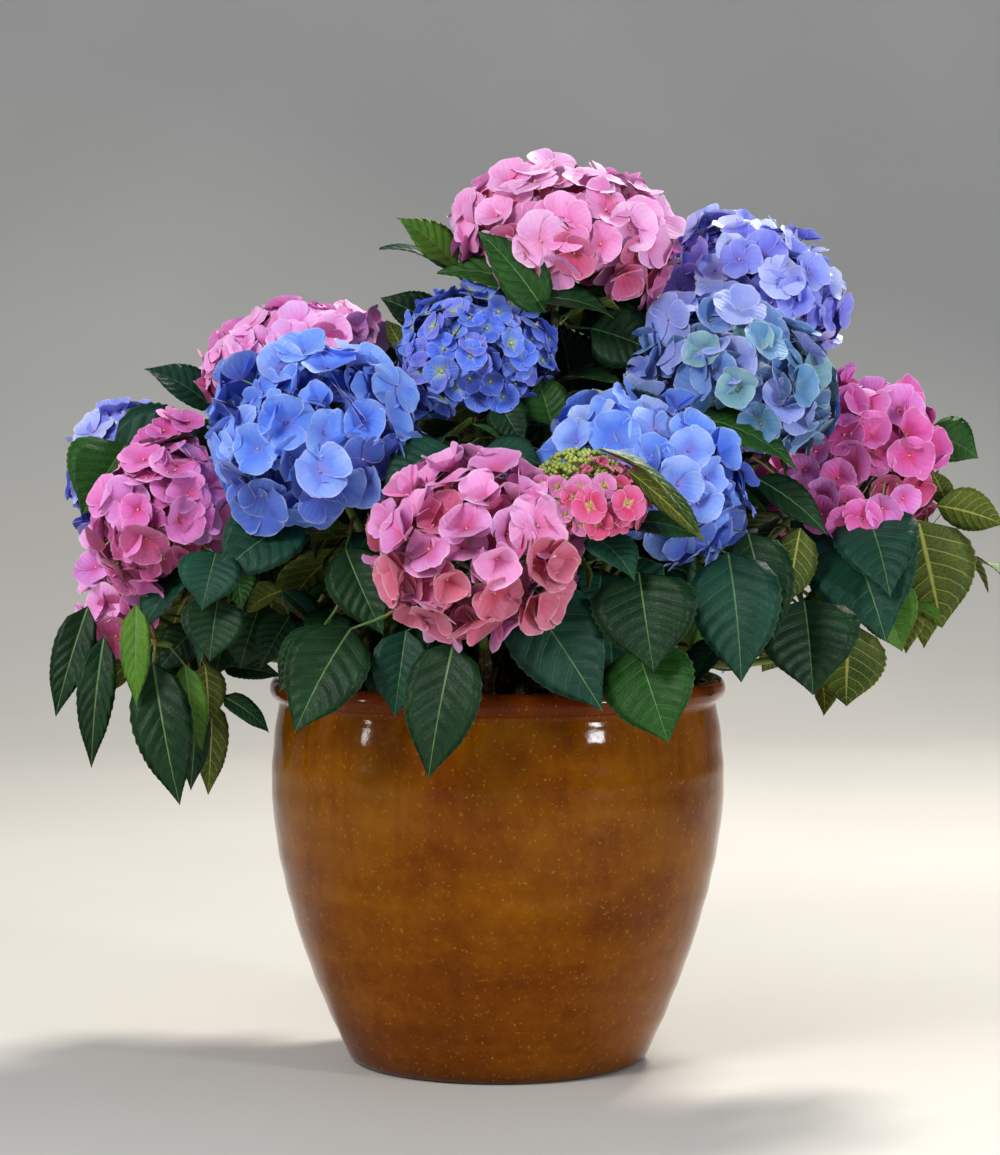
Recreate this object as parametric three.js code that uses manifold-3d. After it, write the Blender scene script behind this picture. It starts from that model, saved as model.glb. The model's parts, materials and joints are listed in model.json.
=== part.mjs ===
import * as THREE from 'three';
import { mergeVertices } from 'three/addons/utils/BufferGeometryUtils.js';
import Module from 'manifold-3d';

// Hydrangea shrub in a glazed pot. Millimetres, +Z up, origin at the centre of the pot's underside.
// The side with most of the blossom faces -Y, and +X is to the right of someone looking at that side.

const wasm = await Module();
wasm.setup();

// Pot
const POT_WIDEST_RADIUS = 210;
const POT_WIDEST_HEIGHT = 258;
const POT_BASE_RADIUS = 136;
const POT_BASE_BEVEL = 5;
const POT_NECK_RADIUS = 202.5;
const POT_NECK_HEIGHT = 336;
const LIP_RADIUS = 211;
const RIM_TOP = 357;
const RIM_INNER_RADIUS = 190;
const WALL = 11;
const POT_FLOOR = 13;
const POT_SEGMENTS = 36;
const SOIL_TOP = 335;
const GAP = 0.3;

// Stems
const FOOT_RADIUS = 6;
const NECK_RADIUS = 3;
const FOOT_FLARE = 1.3;
const SIDE_FOOT_RADIUS = 4.2;
const CANE_SIDES = 6;
const CANE_STEPS = 4;
const STEM_STEPS = 6;
const STEM_SIDES = 5;
const RISE_SHARE = 0.3;
const ARRIVE_SHARE = 0.33;
const FOOT_LEAN = 0.35;
// Blossom heads look away from this point, low on the middle line of the pot.
const PIVOT = [0, 0, 250];

// Leaves
const STALK_SHARE = 0.28;
const STALK_RADIUS = 2.1;
const STALK_SINK = 1.4;
const STALK_LIFT = 45;
const LEAF_ROWS = [[0.18, 0.28], [0.62, 0.3]];
const LEAF_ARCH = 0.36;
const LEAF_FOLD = 0.2;
const GUARD = 0.5;
const PAIR_SPACING = 26;
const PAIR_TURN = 74;
const LAST_LEAF = 5;
const FIRST_PAIR = 40;
const LEAF_SHORTEST = 92;
const LEAF_LONGEST = 138;
const TRIES = [[0, 1], [28, 0.9], [-28, 0.84], [52, 0.78], [-52, 0.7], [14, 0.6]];

// Blossom heads
const HEAD_CUT = 0.55;
const STALK_END = 0.42;
const CORE_SHARE = 0.87;
const FLORET_SHARE = 0.94;
const FLORET_RISE = 3.5;
const FLORET_SINK = 16;
const FLORET_AREA = 600;
const FLORET_FEWEST = 6;
const FLORET_MOST = 28;
const FLORET_ACROSS = 0.36;
const FLORET_ALONG = 0.5;
const FLORET_POLAR = 104;
const GOLDEN_ANGLE = 137.508;
const CLEARANCE = 3;

// One entry for each shoot: where its head or tip is, half the head's width and height, where it
// starts, the leafy share of its length, and the leaves that are placed by hand before the rule
// adds its pairs. A leaf is: millimetres down the stem, bearing, droop, length, roll.
const SHOOTS = {
  pink_top: { at: [60, -20, 759], half: [98, 70], foot: [18, 8], leafy: 0.45, flower: 'pale_pink',
    leaves: [[40, 24, 35, 104, 60]] },
  violet_right_back: { at: [241, 90, 715], half: [86, 66], foot: [58, 50], leafy: 0.5,
    flower: 'violet', leaves: [] },
  blue_right: { at: [219, -40, 635], half: [94, 65], foot: [76, 6], leafy: 0.5, flower: 'teal',
    leaves: [[64, -15, 12, 85, 0], [40, -168, -18, 78, 0], [76, -14, 31, 117, 30]] },
  blue_centre: { at: [-20, -60, 648], half: [69, 66], foot: [-12, -34], leafy: 0.5,
    flower: 'deep_blue',
    leaves: [[76, -131, 11, 109, 0], [64, -47, 9, 67, 0], [40, -79, 12, 66, 0]] },
  blue_left: { at: [-165, -150, 579], half: [90, 80], foot: [-52, -66], leafy: 0.68,
    flower: 'sky_blue',
    leaves: [[148, -137, 46, 141, 30], [52, -68, 62, 103, 30], [64, -150, 47, 155, 30],
      [76, -176, 32, 96, 30], [112, -143, 41, 118, 0]] },
  pink_left_back: { at: [-192, 10, 657], half: [82, 58], foot: [-60, 20], leafy: 0.5,
    flower: 'pink', leaves: [] },
  pink_left: { at: [-301, -115, 508], half: [68, 62], foot: [-104, -40], leafy: 0.5,
    flower: 'pink', leaves: [[40, -94, 38, 69, 0]] },
  violet_left: { at: [-361, 40, 549], half: [58, 50], foot: [-108, 30], leafy: 0.5,
    flower: 'violet', leaves: [[52, 116, -56, 121, -60]] },
  pink_front: { at: [-22, -240, 486], half: [84, 70], foot: [-8, -110], leafy: 0.6,
    flower: 'pale_pink',
    leaves: [[52, -146, 77, 128, 30], [40, -30, 44, 130, -30]] },
  blue_front_right: { at: [134, -130, 543], half: [90, 68], foot: [54, -80], leafy: 0.74,
    flower: 'sky_blue', leaves: [[52, -77, 47, 128, 0], [136, -62, 35, 148, -30], [40, -6, 55, 140, -60]] },
  pink_right: { at: [345, 40, 560], half: [76, 66], foot: [116, -14], leafy: 0.5,
    flower: 'strong_pink',
    leaves: [[112, -61, 61, 133, -30], [52, -42, 43, 104, 0], [64, -26, 57, 120, -30],
      [76, -83, 49, 82, 0]] },
  blue_back: { at: [-60, 225, 560], half: [86, 68], foot: [-18, 78], leafy: 0.6,
    flower: 'sky_blue', leaves: [] },
  pink_back: { at: [110, 240, 520], half: [82, 66], foot: [36, 100], leafy: 0.6,
    flower: 'pink', leaves: [] },
  pink_right_back: { at: [262, 215, 500], half: [76, 60], foot: [92, 64], leafy: 0.6,
    flower: 'strong_pink', leaves: [] },
  violet_back_left: { at: [-215, 165, 545], half: [80, 64], foot: [-70, 82], leafy: 0.6,
    flower: 'violet', leaves: [] },
  pink_left_low: { at: [-335, -50, 425], half: [48, 38], side: ['pink_left', 0.3], leafy: 1,
    flower: 'pink', leaves: [[40, -129, 50, 78, -60]] },
  bud_front: { at: [79, -232, 532], half: [46, 24], side: ['blue_front_right', 0.12], leafy: 1,
    flower: 'young', leaves: [] },
  pink_back_low: { at: [-150, 280, 430], half: [62, 52], side: ['blue_back', 0.3], leafy: 1,
    flower: 'pale_pink', leaves: [] },
  blue_back_low: { at: [205, 300, 400], half: [60, 48], side: ['pink_back', 0.3], leafy: 1,
    flower: 'teal', leaves: [] },
  leaf_top_left: { at: [-18, 30, 719], side: ['pink_top', 0.42], leafy: 1,
    leaves: [[5, -161, -17, 84, 60], [24, -123, -11, 62, 0], [72, -162, -21, 93, -30]] },
  leaf_right: { at: [407, 25, 493], side: ['pink_right', 0.4], leafy: 1,
    leaves: [[5, -44, -2, 80, -15]] },
  hang_left: { at: [-313, -95, 397], side: ['violet_left', 0.5], leafy: 1, hanging: 34,
    leaves: [[5, -154, 45, 91, 0], [5, -46, 83, 124, 0], [24, 60, 87, 109, -30], [36, 52, 87, 117, -30], [48, -8, 58, 85, 30]] },
  hang_right: { at: [308, 0, 390], side: ['pink_right', 0.22], leafy: 1, hanging: 20,
    leaves: [[5, -79, 52, 68, 30], [8, 24, 10, 85, 30]] },
};

const COLOURS = {
  glaze: '#9a5410',
  soil: '#3a2a1e',
  bark: '#6f6a3c',
  leaf: '#2c5a34',
  pale_pink: '#e08bb0',
  pink: '#dc6fa6',
  strong_pink: '#d64f8e',
  sky_blue: '#6f8ee0',
  deep_blue: '#4458c8',
  teal: '#6b93c4',
  violet: '#8a86e0',
  young: '#c2788a',
};

// Vectors
const add = (a, b) => [a[0] + b[0], a[1] + b[1], a[2] + b[2]];
const sub = (a, b) => [a[0] - b[0], a[1] - b[1], a[2] - b[2]];
const mul = (a, k) => [a[0] * k, a[1] * k, a[2] * k];
const dot = (a, b) => a[0] * b[0] + a[1] * b[1] + a[2] * b[2];
const cross = (a, b) => [
  a[1] * b[2] - a[2] * b[1],
  a[2] * b[0] - a[0] * b[2],
  a[0] * b[1] - a[1] * b[0],
];
const size = (a) => Math.sqrt(dot(a, a));
const unit = (a) => mul(a, 1 / size(a));
const radians = (degrees) => (degrees * Math.PI) / 180;

function heading(bearing, rise) {
  const b = radians(bearing);
  const r = radians(rise);
  return [Math.cos(b) * Math.cos(r), Math.sin(b) * Math.cos(r), Math.sin(r)];
}

function chance(seed) {
  let state = seed;
  return (low, high) => {
    state = (state * 1664525 + 1013904223) % 4294967296;
    return low + ((high - low) * state) / 4294967296;
  };
}

// Paths of the shoots
function pointOn(path, t) {
  const s = 1 - t;
  const k = [s * s * s, 3 * s * s * t, 3 * s * t * t, t * t * t];
  return [0, 1, 2].map((i) => k[0] * path[0][i] + k[1] * path[1][i] + k[2] * path[2][i] + k[3] * path[3][i]);
}

function slopeOn(path, t) {
  const s = 1 - t;
  const k = [3 * s * s, 6 * s * t, 3 * t * t];
  return unit([0, 1, 2].map((i) => (
    k[0] * (path[1][i] - path[0][i]) + k[1] * (path[2][i] - path[1][i]) + k[2] * (path[3][i] - path[2][i])
  )));
}

function stemRadius(shoot, t) {
  const foot = shoot.side ? SIDE_FOOT_RADIUS : FOOT_RADIUS;
  return foot + (NECK_RADIUS - foot) * t;
}

const PATH_STEPS = 60;

function layPath(shoot) {
  shoot.axis = unit(sub(shoot.at, PIVOT));
  const end = shoot.half ? sub(shoot.at, mul(shoot.axis, shoot.half[1] * STALK_END)) : shoot.at;
  let start;
  let rise;
  if (shoot.foot) {
    const out = unit([shoot.foot[0], shoot.foot[1], 0]);
    start = [shoot.foot[0], shoot.foot[1], SOIL_TOP + GAP];
    rise = unit([FOOT_LEAN * out[0], FOOT_LEAN * out[1], 1]);
  } else {
    const parent = SHOOTS[shoot.side[0]];
    const from = pointOn(parent.path, shoot.side[1]);
    const along = slopeOn(parent.path, shoot.side[1]);
    const away = sub(end, from);
    rise = unit(sub(away, mul(along, dot(away, along))));
    start = add(from, mul(rise, stemRadius(parent, shoot.side[1]) + 0.6));
  }
  const reach = size(sub(end, start));
  shoot.path = [
    start,
    add(start, mul(rise, reach * RISE_SHARE)),
    sub(end, mul(shoot.axis, reach * ARRIVE_SHARE)),
    end,
  ];
  shoot.lengths = [0];
  for (let i = 0; i < PATH_STEPS; i += 1) {
    const step = size(sub(pointOn(shoot.path, (i + 1) / PATH_STEPS), pointOn(shoot.path, i / PATH_STEPS)));
    shoot.lengths.push(shoot.lengths[i] + step);
  }
}

function shareAt(shoot, down) {
  const wanted = shoot.lengths[PATH_STEPS] - down;
  for (let i = 0; i < PATH_STEPS; i += 1) {
    if (shoot.lengths[i + 1] >= wanted) {
      return (i + (wanted - shoot.lengths[i]) / (shoot.lengths[i + 1] - shoot.lengths[i])) / PATH_STEPS;
    }
  }
  return 1;
}

// A tube along a shoot's path, closed at both ends. The foot of a cane is cut level with the soil.
function tube(shoot, from, to, sides, steps, grow, flare) {
  const across = sub(shoot.path[3], shoot.path[0]);
  const level = unit([-across[1], across[0], 0]);
  const points = [];
  const faces = [];
  for (let i = 0; i <= steps; i += 1) {
    const t = from + ((to - from) * i) / steps;
    const middle = pointOn(shoot.path, t);
    const along = i === 0 && flare ? [0, 0, 1] : slopeOn(shoot.path, t);
    const x = unit(sub(level, mul(along, dot(level, along))));
    const y = cross(along, x);
    const radius = stemRadius(shoot, t) * (i === 0 && flare ? flare : 1) + grow;
    for (let j = 0; j < sides; j += 1) {
      const angle = (2 * Math.PI * j) / sides;
      points.push(add(middle, add(mul(x, radius * Math.cos(angle)), mul(y, radius * Math.sin(angle)))));
    }
  }
  for (let i = 0; i < steps; i += 1) {
    for (let j = 0; j < sides; j += 1) {
      const a = i * sides + j;
      const b = i * sides + ((j + 1) % sides);
      faces.push([a, b, b + sides], [a, b + sides, a + sides]);
    }
  }
  const last = steps * sides;
  for (let j = 1; j < sides - 1; j += 1) {
    faces.push([0, j + 1, j], [last, last + j, last + j + 1]);
  }
  return { points, faces };
}

// A leaf: a stalk that lifts away from the stem, then a folded, arched blade.
// Each ring has three corners: left edge, underside of the midrib, right edge.
const LEAF_FACES = [[0, 2, 1]];
for (let ring = 0; ring < 3; ring += 1) {
  for (let j = 0; j < 3; j += 1) {
    const a = 3 * ring + j;
    const b = 3 * ring + ((j + 1) % 3);
    LEAF_FACES.push([a, b, b + 3], [a, b + 3, a + 3]);
  }
}
for (let j = 0; j < 3; j += 1) {
  LEAF_FACES.push([9 + j, 9 + ((j + 1) % 3), 12]);
}

function leafFrame(bearing, droop, roll) {
  const along = heading(bearing, -droop);
  const flat = [Math.sin(radians(bearing)), -Math.cos(radians(bearing)), 0];
  const up = cross(flat, along);
  const c = Math.cos(radians(roll));
  const s = Math.sin(radians(roll));
  return {
    along,
    side: add(mul(flat, c), mul(up, s)),
    up: sub(mul(up, c), mul(flat, s)),
  };
}

function leafShape(root, leaf, grow) {
  const [, bearing, droop, length, roll] = leaf;
  const { along, side, up } = leafFrame(bearing, droop, roll);
  const stalk = heading(bearing, STALK_LIFT - droop);
  const stalkUp = unit(cross(side, stalk));
  const base = add(root, mul(stalk, STALK_SHARE * length));
  const points = [];
  const radius = STALK_RADIUS + grow;
  for (const end of [add(root, mul(stalk, STALK_SINK)), add(base, mul(along, 0.01 * length))]) {
    points.push(add(end, add(mul(side, -radius), mul(stalkUp, 0.5 * radius))));
    points.push(add(end, mul(stalkUp, -radius)));
    points.push(add(end, add(mul(side, radius), mul(stalkUp, 0.5 * radius))));
  }
  for (const [share, half] of LEAF_ROWS) {
    const lift = LEAF_ARCH * length * share * (1 - share);
    const middle = add(add(base, mul(along, share * length)), mul(up, lift));
    const width = half * length + grow;
    const fold = mul(up, LEAF_FOLD * half * length + grow);
    points.push(add(add(middle, mul(side, -width)), fold));
    points.push(add(middle, mul(up, -grow)));
    points.push(add(add(middle, mul(side, width)), fold));
  }
  points.push(add(base, mul(along, length + grow)));
  return { points, faces: LEAF_FACES };
}

// Keeping clear: every stem, leaf and floret is remembered as a slightly swollen shell.
const shells = [];

function edgesOf(faces) {
  const seen = new Map();
  for (const face of faces) {
    for (let i = 0; i < 3; i += 1) {
      const a = Math.min(face[i], face[(i + 1) % 3]);
      const b = Math.max(face[i], face[(i + 1) % 3]);
      seen.set(a * 10000 + b, [a, b]);
    }
  }
  return [...seen.values()];
}

function shellOf(shape, owner) {
  const low = [0, 1, 2].map((i) => Math.min(...shape.points.map((p) => p[i])));
  const high = [0, 1, 2].map((i) => Math.max(...shape.points.map((p) => p[i])));
  return { ...shape, edges: edgesOf(shape.faces), low, high, owner };
}

function edgeMeetsFace(p, q, a, b, c) {
  const d = sub(q, p);
  const e1 = sub(b, a);
  const e2 = sub(c, a);
  const h = cross(d, e2);
  const det = dot(e1, h);
  if (Math.abs(det) < 1e-9) return false;
  const s = sub(p, a);
  const u = dot(s, h) / det;
  if (u < 0 || u > 1) return false;
  const k = cross(s, e1);
  const v = dot(d, k) / det;
  if (v < 0 || u + v > 1) return false;
  const t = dot(e2, k) / det;
  return t >= 0 && t <= 1;
}

function edgesMeet(first, second) {
  return first.edges.some(([i, j]) => second.faces.some(([a, b, c]) => (
    edgeMeetsFace(first.points[i], first.points[j], second.points[a], second.points[b], second.points[c])
  )));
}

function shellsMeet(first, second) {
  if ([0, 1, 2].some((i) => first.high[i] < second.low[i] || first.low[i] > second.high[i])) return false;
  return edgesMeet(first, second) || edgesMeet(second, first);
}

// The blade without the root of its stalk, for the check against its own stem.
function bladeOf(shape) {
  return {
    points: shape.points.slice(3),
    faces: shape.faces.filter((face) => face.every((i) => i >= 3)).map((face) => face.map((i) => i - 3)),
  };
}

const SAMPLE_SHARES = [0, 0.25, 0.5, 0.75, 1];

function samplesOf(shell) {
  return shell.edges.flatMap(([i, j]) => SAMPLE_SHARES.map((k) => (
    add(mul(shell.points[i], 1 - k), mul(shell.points[j], k))
  )));
}

function inHead(point, shoot, grow) {
  const d = sub(point, shoot.at);
  const h = dot(d, shoot.axis);
  const r2 = dot(d, d) - h * h;
  const [a, b] = shoot.half;
  return h > -HEAD_CUT * b - grow && r2 / (a + grow) ** 2 + h ** 2 / (b + grow) ** 2 < 1;
}

function potRadius(z) {
  if (z > POT_NECK_HEIGHT) return LIP_RADIUS;
  if (z > POT_WIDEST_HEIGHT) return POT_WIDEST_RADIUS - 7.5 * ((z - POT_WIDEST_HEIGHT) / 75) ** 2;
  const drop = (POT_WIDEST_HEIGHT - z) / POT_WIDEST_HEIGHT;
  return POT_WIDEST_RADIUS - (POT_WIDEST_RADIUS - POT_BASE_RADIUS) * drop ** 1.7;
}

function inPot(point, grow) {
  const [x, y, z] = point;
  const r = Math.hypot(x, y);
  if (z > RIM_TOP + grow) return false;
  if (r < RIM_INNER_RADIUS - grow && z > SOIL_TOP + grow + 1) return false;
  return r <= Math.max(potRadius(z), 212 * (z > POT_NECK_HEIGHT)) + grow;
}

const shootList = Object.entries(SHOOTS);
for (const [, shoot] of shootList) layPath(shoot);
const headList = shootList.map(([, shoot]) => shoot).filter((shoot) => shoot.half);
for (const [name, shoot] of shootList) {
  shoot.shell = shellOf(tube(shoot, 0, 1, STEM_SIDES, 8, GUARD, 0), name);
  shoot.split = shoot.side ? 0 : shareAt(shoot, shoot.lengths[PATH_STEPS] * shoot.leafy);
  shells.push(shoot.shell);
  if (!shoot.side) {
    const cane = tube(shoot, 0, shoot.split, CANE_SIDES, CANE_STEPS, GUARD, FOOT_FLARE);
    shells.push(shellOf(cane, `${name} cane`));
  }
}

function leafIsClear(name, shoot, leaf) {
  const root = pointOn(shoot.path, shareAt(shoot, leaf[0]));
  const shell = shellOf(leafShape(root, leaf, GUARD), `${name} leaf`);
  const points = samplesOf(shell);
  if (points.some((p) => inPot(p, CLEARANCE))) return null;
  if (points.some((p) => headList.some((head) => inHead(p, head, CLEARANCE)))) return null;
  if (shells.some((other) => other.owner !== name && shellsMeet(shell, other))) return null;
  const blade = bladeOf(shell);
  if (shellsMeet(shellOf(blade, name), shoot.shell)) return null;
  return shell;
}

function placeLeaf(name, shoot, leaf) {
  const shell = leafIsClear(name, shoot, leaf);
  if (!shell) return false;
  shells.push(shell);
  shoot.placed.push(leaf);
  return true;
}

for (const [name, shoot] of shootList) {
  shoot.placed = [];
  for (const leaf of shoot.leaves) placeLeaf(name, shoot, leaf);
}

// The rule: crossed pairs down each stem, drooping more the lower they stand.
shootList.forEach(([name, shoot], number) => {
  const pick = chance(9176 + 613 * number);
  const length = shoot.lengths[PATH_STEPS];
  const leafyLength = length * shoot.leafy - (shoot.side ? 26 : 8);
  const turn = pick(0, 180);
  let pair = 0;
  for (let down = shoot.half ? FIRST_PAIR : 4; down < leafyLength; down += PAIR_SPACING) {
    for (const half of [0, 180]) {
      const bearing = turn + PAIR_TURN * pair + half + pick(-16, 16);
      const droop = Math.min(78, 10 + 19 * pair + (shoot.hanging ?? 0) + pick(-12, 14));
      const roll = pick(-22, 22);
      const place = Math.max(LAST_LEAF, down + pick(-6, 6));
      const long = pick(LEAF_SHORTEST, LEAF_LONGEST);
      const root = pointOn(shoot.path, shareAt(shoot, place));
      const inward = dot(heading(bearing, 0), [root[0], root[1], 0]) < 0;
      for (const [swing, share] of TRIES) {
        const leaf = [place, bearing + swing, droop, long * share * (inward ? 0.8 : 1), roll];
        if (placeLeaf(name, shoot, leaf)) break;
      }
    }
    pair += 1;
  }
});

// Florets on a head: a golden-angle spiral, each one a shallow diamond sunk into the core.
const DIAMOND_FACES = [
  [0, 1, 4], [1, 2, 4], [2, 3, 4], [3, 0, 4],
  [1, 0, 5], [2, 1, 5], [3, 2, 5], [0, 3, 5],
];

function headFrame(shoot) {
  const flat = unit([-shoot.axis[1], shoot.axis[0], 0]);
  return { x: flat, y: cross(shoot.axis, flat), z: shoot.axis };
}

function headPoint(shoot, frame, polar, turn, share) {
  const [a, b] = shoot.half;
  const ring = a * share * Math.sin(polar);
  const offset = add(
    add(mul(frame.x, ring * Math.cos(turn)), mul(frame.y, ring * Math.sin(turn))),
    mul(frame.z, b * share * Math.cos(polar)),
  );
  const normal = add(
    add(mul(frame.x, (Math.sin(polar) * Math.cos(turn)) / a), mul(frame.y, (Math.sin(polar) * Math.sin(turn)) / a)),
    mul(frame.z, Math.cos(polar) / b),
  );
  return { place: add(shoot.at, offset), normal: unit(normal) };
}

function floretShape(shoot, frame, index, count, spin, grow) {
  const cosine = 1 - ((index + 0.5) / count) * (1 - Math.cos(radians(FLORET_POLAR)));
  const turn = radians(GOLDEN_ANGLE * index);
  const { place, normal } = headPoint(shoot, frame, Math.acos(cosine), turn, FLORET_SHARE);
  const [a, b] = shoot.half;
  const width = Math.min(FLORET_MOST, FLORET_ACROSS * a, FLORET_ALONG * b) + grow;
  const flat = unit(cross(normal, Math.abs(normal[2]) < 0.9 ? [0, 0, 1] : [1, 0, 0]));
  const other = cross(normal, flat);
  const points = [0, 1, 2, 3].map((k) => {
    const angle = radians(spin + 90 * k);
    return add(place, add(mul(flat, width * Math.cos(angle)), mul(other, width * Math.sin(angle))));
  });
  points.push(add(place, mul(normal, FLORET_RISE + grow)));
  points.push(add(place, mul(normal, -Math.min(FLORET_SINK, 0.4 * shoot.half[1]) - grow)));
  return { points, faces: DIAMOND_FACES };
}

function coreShape(shoot, frame) {
  const ball = new THREE.IcosahedronGeometry(1, 1);
  ball.deleteAttribute('normal');
  ball.deleteAttribute('uv');
  const merged = mergeVertices(ball, 1e-4);
  const place = merged.attributes.position;
  const [a, b] = shoot.half.map((half) => half * CORE_SHARE);
  const points = [];
  for (let i = 0; i < place.count; i += 1) {
    const height = Math.max(place.getZ(i) * b, -HEAD_CUT * b);
    points.push(add(shoot.at, add(
      add(mul(frame.x, place.getX(i) * a), mul(frame.y, place.getY(i) * a)),
      mul(frame.z, height),
    )));
  }
  const faces = [];
  for (let i = 0; i < merged.index.count; i += 3) {
    faces.push([merged.index.getX(i), merged.index.getX(i + 1), merged.index.getX(i + 2)]);
  }
  return { points, faces };
}

const floretShells = [];

function insideCore(point, shoot, grow) {
  const d = sub(point, shoot.at);
  const h = dot(d, shoot.axis);
  const r2 = dot(d, d) - h * h;
  const [a, b] = shoot.half.map((half) => half * CORE_SHARE + grow);
  return h > -HEAD_CUT * b - grow && r2 / a ** 2 + h ** 2 / b ** 2 < 1;
}

headList.forEach((shoot, number) => {
  const pick = chance(4409 + 271 * number);
  const frame = headFrame(shoot);
  const count = Math.max(FLORET_FEWEST, Math.round((shoot.half[0] * shoot.half[1]) / FLORET_AREA));
  shoot.florets = [];
  for (let index = 0; index < count; index += 1) {
    const spin = pick(0, 90);
    const shell = shellOf(floretShape(shoot, frame, index, count, spin, GUARD), shoot);
    const points = samplesOf(shell);
    const buried = headList.some((head) => head !== shoot && points.some((p) => insideCore(p, head, 1.5)));
    const touching = floretShells.some((other) => other.owner !== shoot && shellsMeet(shell, other));
    if (!buried && !touching) {
      floretShells.push(shell);
      shoot.florets.push(floretShape(shoot, frame, index, count, spin, 0));
    }
  }
});

// Fusing
function solid(shape) {
  const volume = shape.faces.reduce((sum, [a, b, c]) => (
    sum + dot(shape.points[a], cross(shape.points[b], shape.points[c]))
  ), 0);
  const faces = volume < 0 ? shape.faces.map(([a, b, c]) => [a, c, b]) : shape.faces;
  return new wasm.Manifold(new wasm.Mesh({
    numProp: 3,
    vertProperties: new Float32Array(shape.points.flat()),
    triVerts: new Uint32Array(faces.flat()),
  }));
}

// Joins the shapes, keeps the largest piece, and so fills sealed hollows and drops loose scraps.
function fuse(shapes) {
  let whole = solid(shapes[0]);
  for (const shape of shapes.slice(1)) whole = whole.add(solid(shape));
  const pieces = whole.decompose().sort((a, b) => b.volume() - a.volume());
  return pieces[0];
}

function geometryOf(manifold) {
  const mesh = manifold.getMesh();
  const geometry = new THREE.BufferGeometry();
  const place = new Float32Array((mesh.vertProperties.length / mesh.numProp) * 3);
  for (let i = 0; i < place.length / 3; i += 1) {
    for (let k = 0; k < 3; k += 1) place[3 * i + k] = mesh.vertProperties[mesh.numProp * i + k];
  }
  geometry.setAttribute('position', new THREE.BufferAttribute(place, 3));
  geometry.setIndex(new THREE.BufferAttribute(new Uint32Array(mesh.triVerts), 1));
  geometry.computeVertexNormals();
  return geometry;
}

const group = new THREE.Group();
group.name = 'hydrangea_in_pot';

function addNode(name, geometry, colour, roughness) {
  const material = new THREE.MeshStandardMaterial({ color: colour, roughness, metalness: 0 });
  const mesh = new THREE.Mesh(geometry, material);
  mesh.name = name;
  group.add(mesh);
}

// Pot and soil
function spun(profile) {
  const points = profile.map(([r, z]) => new THREE.Vector2(r, z));
  const geometry = new THREE.LatheGeometry(points, POT_SEGMENTS);
  geometry.rotateX(Math.PI / 2);
  geometry.deleteAttribute('normal');
  geometry.deleteAttribute('uv');
  const merged = mergeVertices(geometry, 1e-3);
  const place = merged.attributes.position;
  const shape = { points: [], faces: [] };
  for (let i = 0; i < place.count; i += 1) shape.points.push([place.getX(i), place.getY(i), place.getZ(i)]);
  for (let i = 0; i < merged.index.count; i += 3) {
    const face = [merged.index.getX(i), merged.index.getX(i + 1), merged.index.getX(i + 2)];
    if (new Set(face).size === 3) shape.faces.push(face);
  }
  return geometryOf(solid(shape));
}

function heights(from, to, steps) {
  return Array.from({ length: steps + 1 }, (_, i) => from + ((to - from) * i) / steps);
}

const innerRadius = (z) => Math.min(potRadius(z), POT_NECK_RADIUS) - WALL - (z > 300 ? (z - 300) * 0.03 : 0);
const outside = heights(POT_BASE_BEVEL, POT_WIDEST_HEIGHT, 5).map((z) => [potRadius(z), z])
  .concat(heights(285, POT_NECK_HEIGHT, 2).map((z) => [potRadius(z), z]));
const lip = [
  [LIP_RADIUS - 1.5, POT_NECK_HEIGHT + 4],
  [LIP_RADIUS, POT_NECK_HEIGHT + 11],
  [LIP_RADIUS - 3, RIM_TOP - 3],
  [LIP_RADIUS - 10, RIM_TOP],
  [RIM_INNER_RADIUS + 1, RIM_TOP - 5],
];
const wallHeights = heights(SOIL_TOP, POT_FLOOR + 12, 4);
const inside = wallHeights.map((z) => [innerRadius(z), z]);
const floorRadius = innerRadius(POT_FLOOR + 12) - 10;
addNode('pot', spun([
  [0, 0],
  [POT_BASE_RADIUS - POT_BASE_BEVEL, 0],
  ...outside,
  ...lip,
  ...inside,
  [floorRadius, POT_FLOOR],
  [0, POT_FLOOR],
]), COLOURS.glaze, 0.18);
addNode('soil', spun([
  [0, POT_FLOOR + GAP],
  [floorRadius - 2 * GAP, POT_FLOOR + GAP],
  ...[...inside].reverse().map(([r, z]) => [r - 2 * GAP, z]),
  [0, SOIL_TOP],
]), COLOURS.soil, 0.95);

// Canes, leafy stems and heads
for (const [name, shoot] of shootList) {
  const length = shoot.lengths[PATH_STEPS];
  const { split } = shoot;
  if (!shoot.side) {
    addNode(`cane_${name}`, geometryOf(solid(tube(shoot, 0, split, CANE_SIDES, CANE_STEPS, 0, FOOT_FLARE))), COLOURS.bark, 0.8);
  }
  const headRoom = shoot.half ? (HEAD_CUT * CORE_SHARE - STALK_END) * shoot.half[1] + 8 : 0;
  const tip = shareAt(shoot, headRoom);
  const stem = tube(shoot, split + (shoot.side ? 0 : GAP / length), tip, STEM_SIDES, STEM_STEPS, 0, 0);
  const leaves = shoot.placed.map((leaf) => (
    leafShape(pointOn(shoot.path, shareAt(shoot, leaf[0])), leaf, 0)
  ));
  addNode(`leaves_${name}`, geometryOf(fuse([stem, ...leaves])), COLOURS.leaf, 0.5);
  if (shoot.half) {
    const frame = headFrame(shoot);
    const stub = tube(shoot, shareAt(shoot, headRoom - GAP), 1, STEM_SIDES, 2, 0, 0);
    addNode(`bloom_${name}`, geometryOf(fuse([coreShape(shoot, frame), stub, ...shoot.florets])), COLOURS[shoot.flower], 0.6);
  }
}

export default group;
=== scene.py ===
import json
import math

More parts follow.
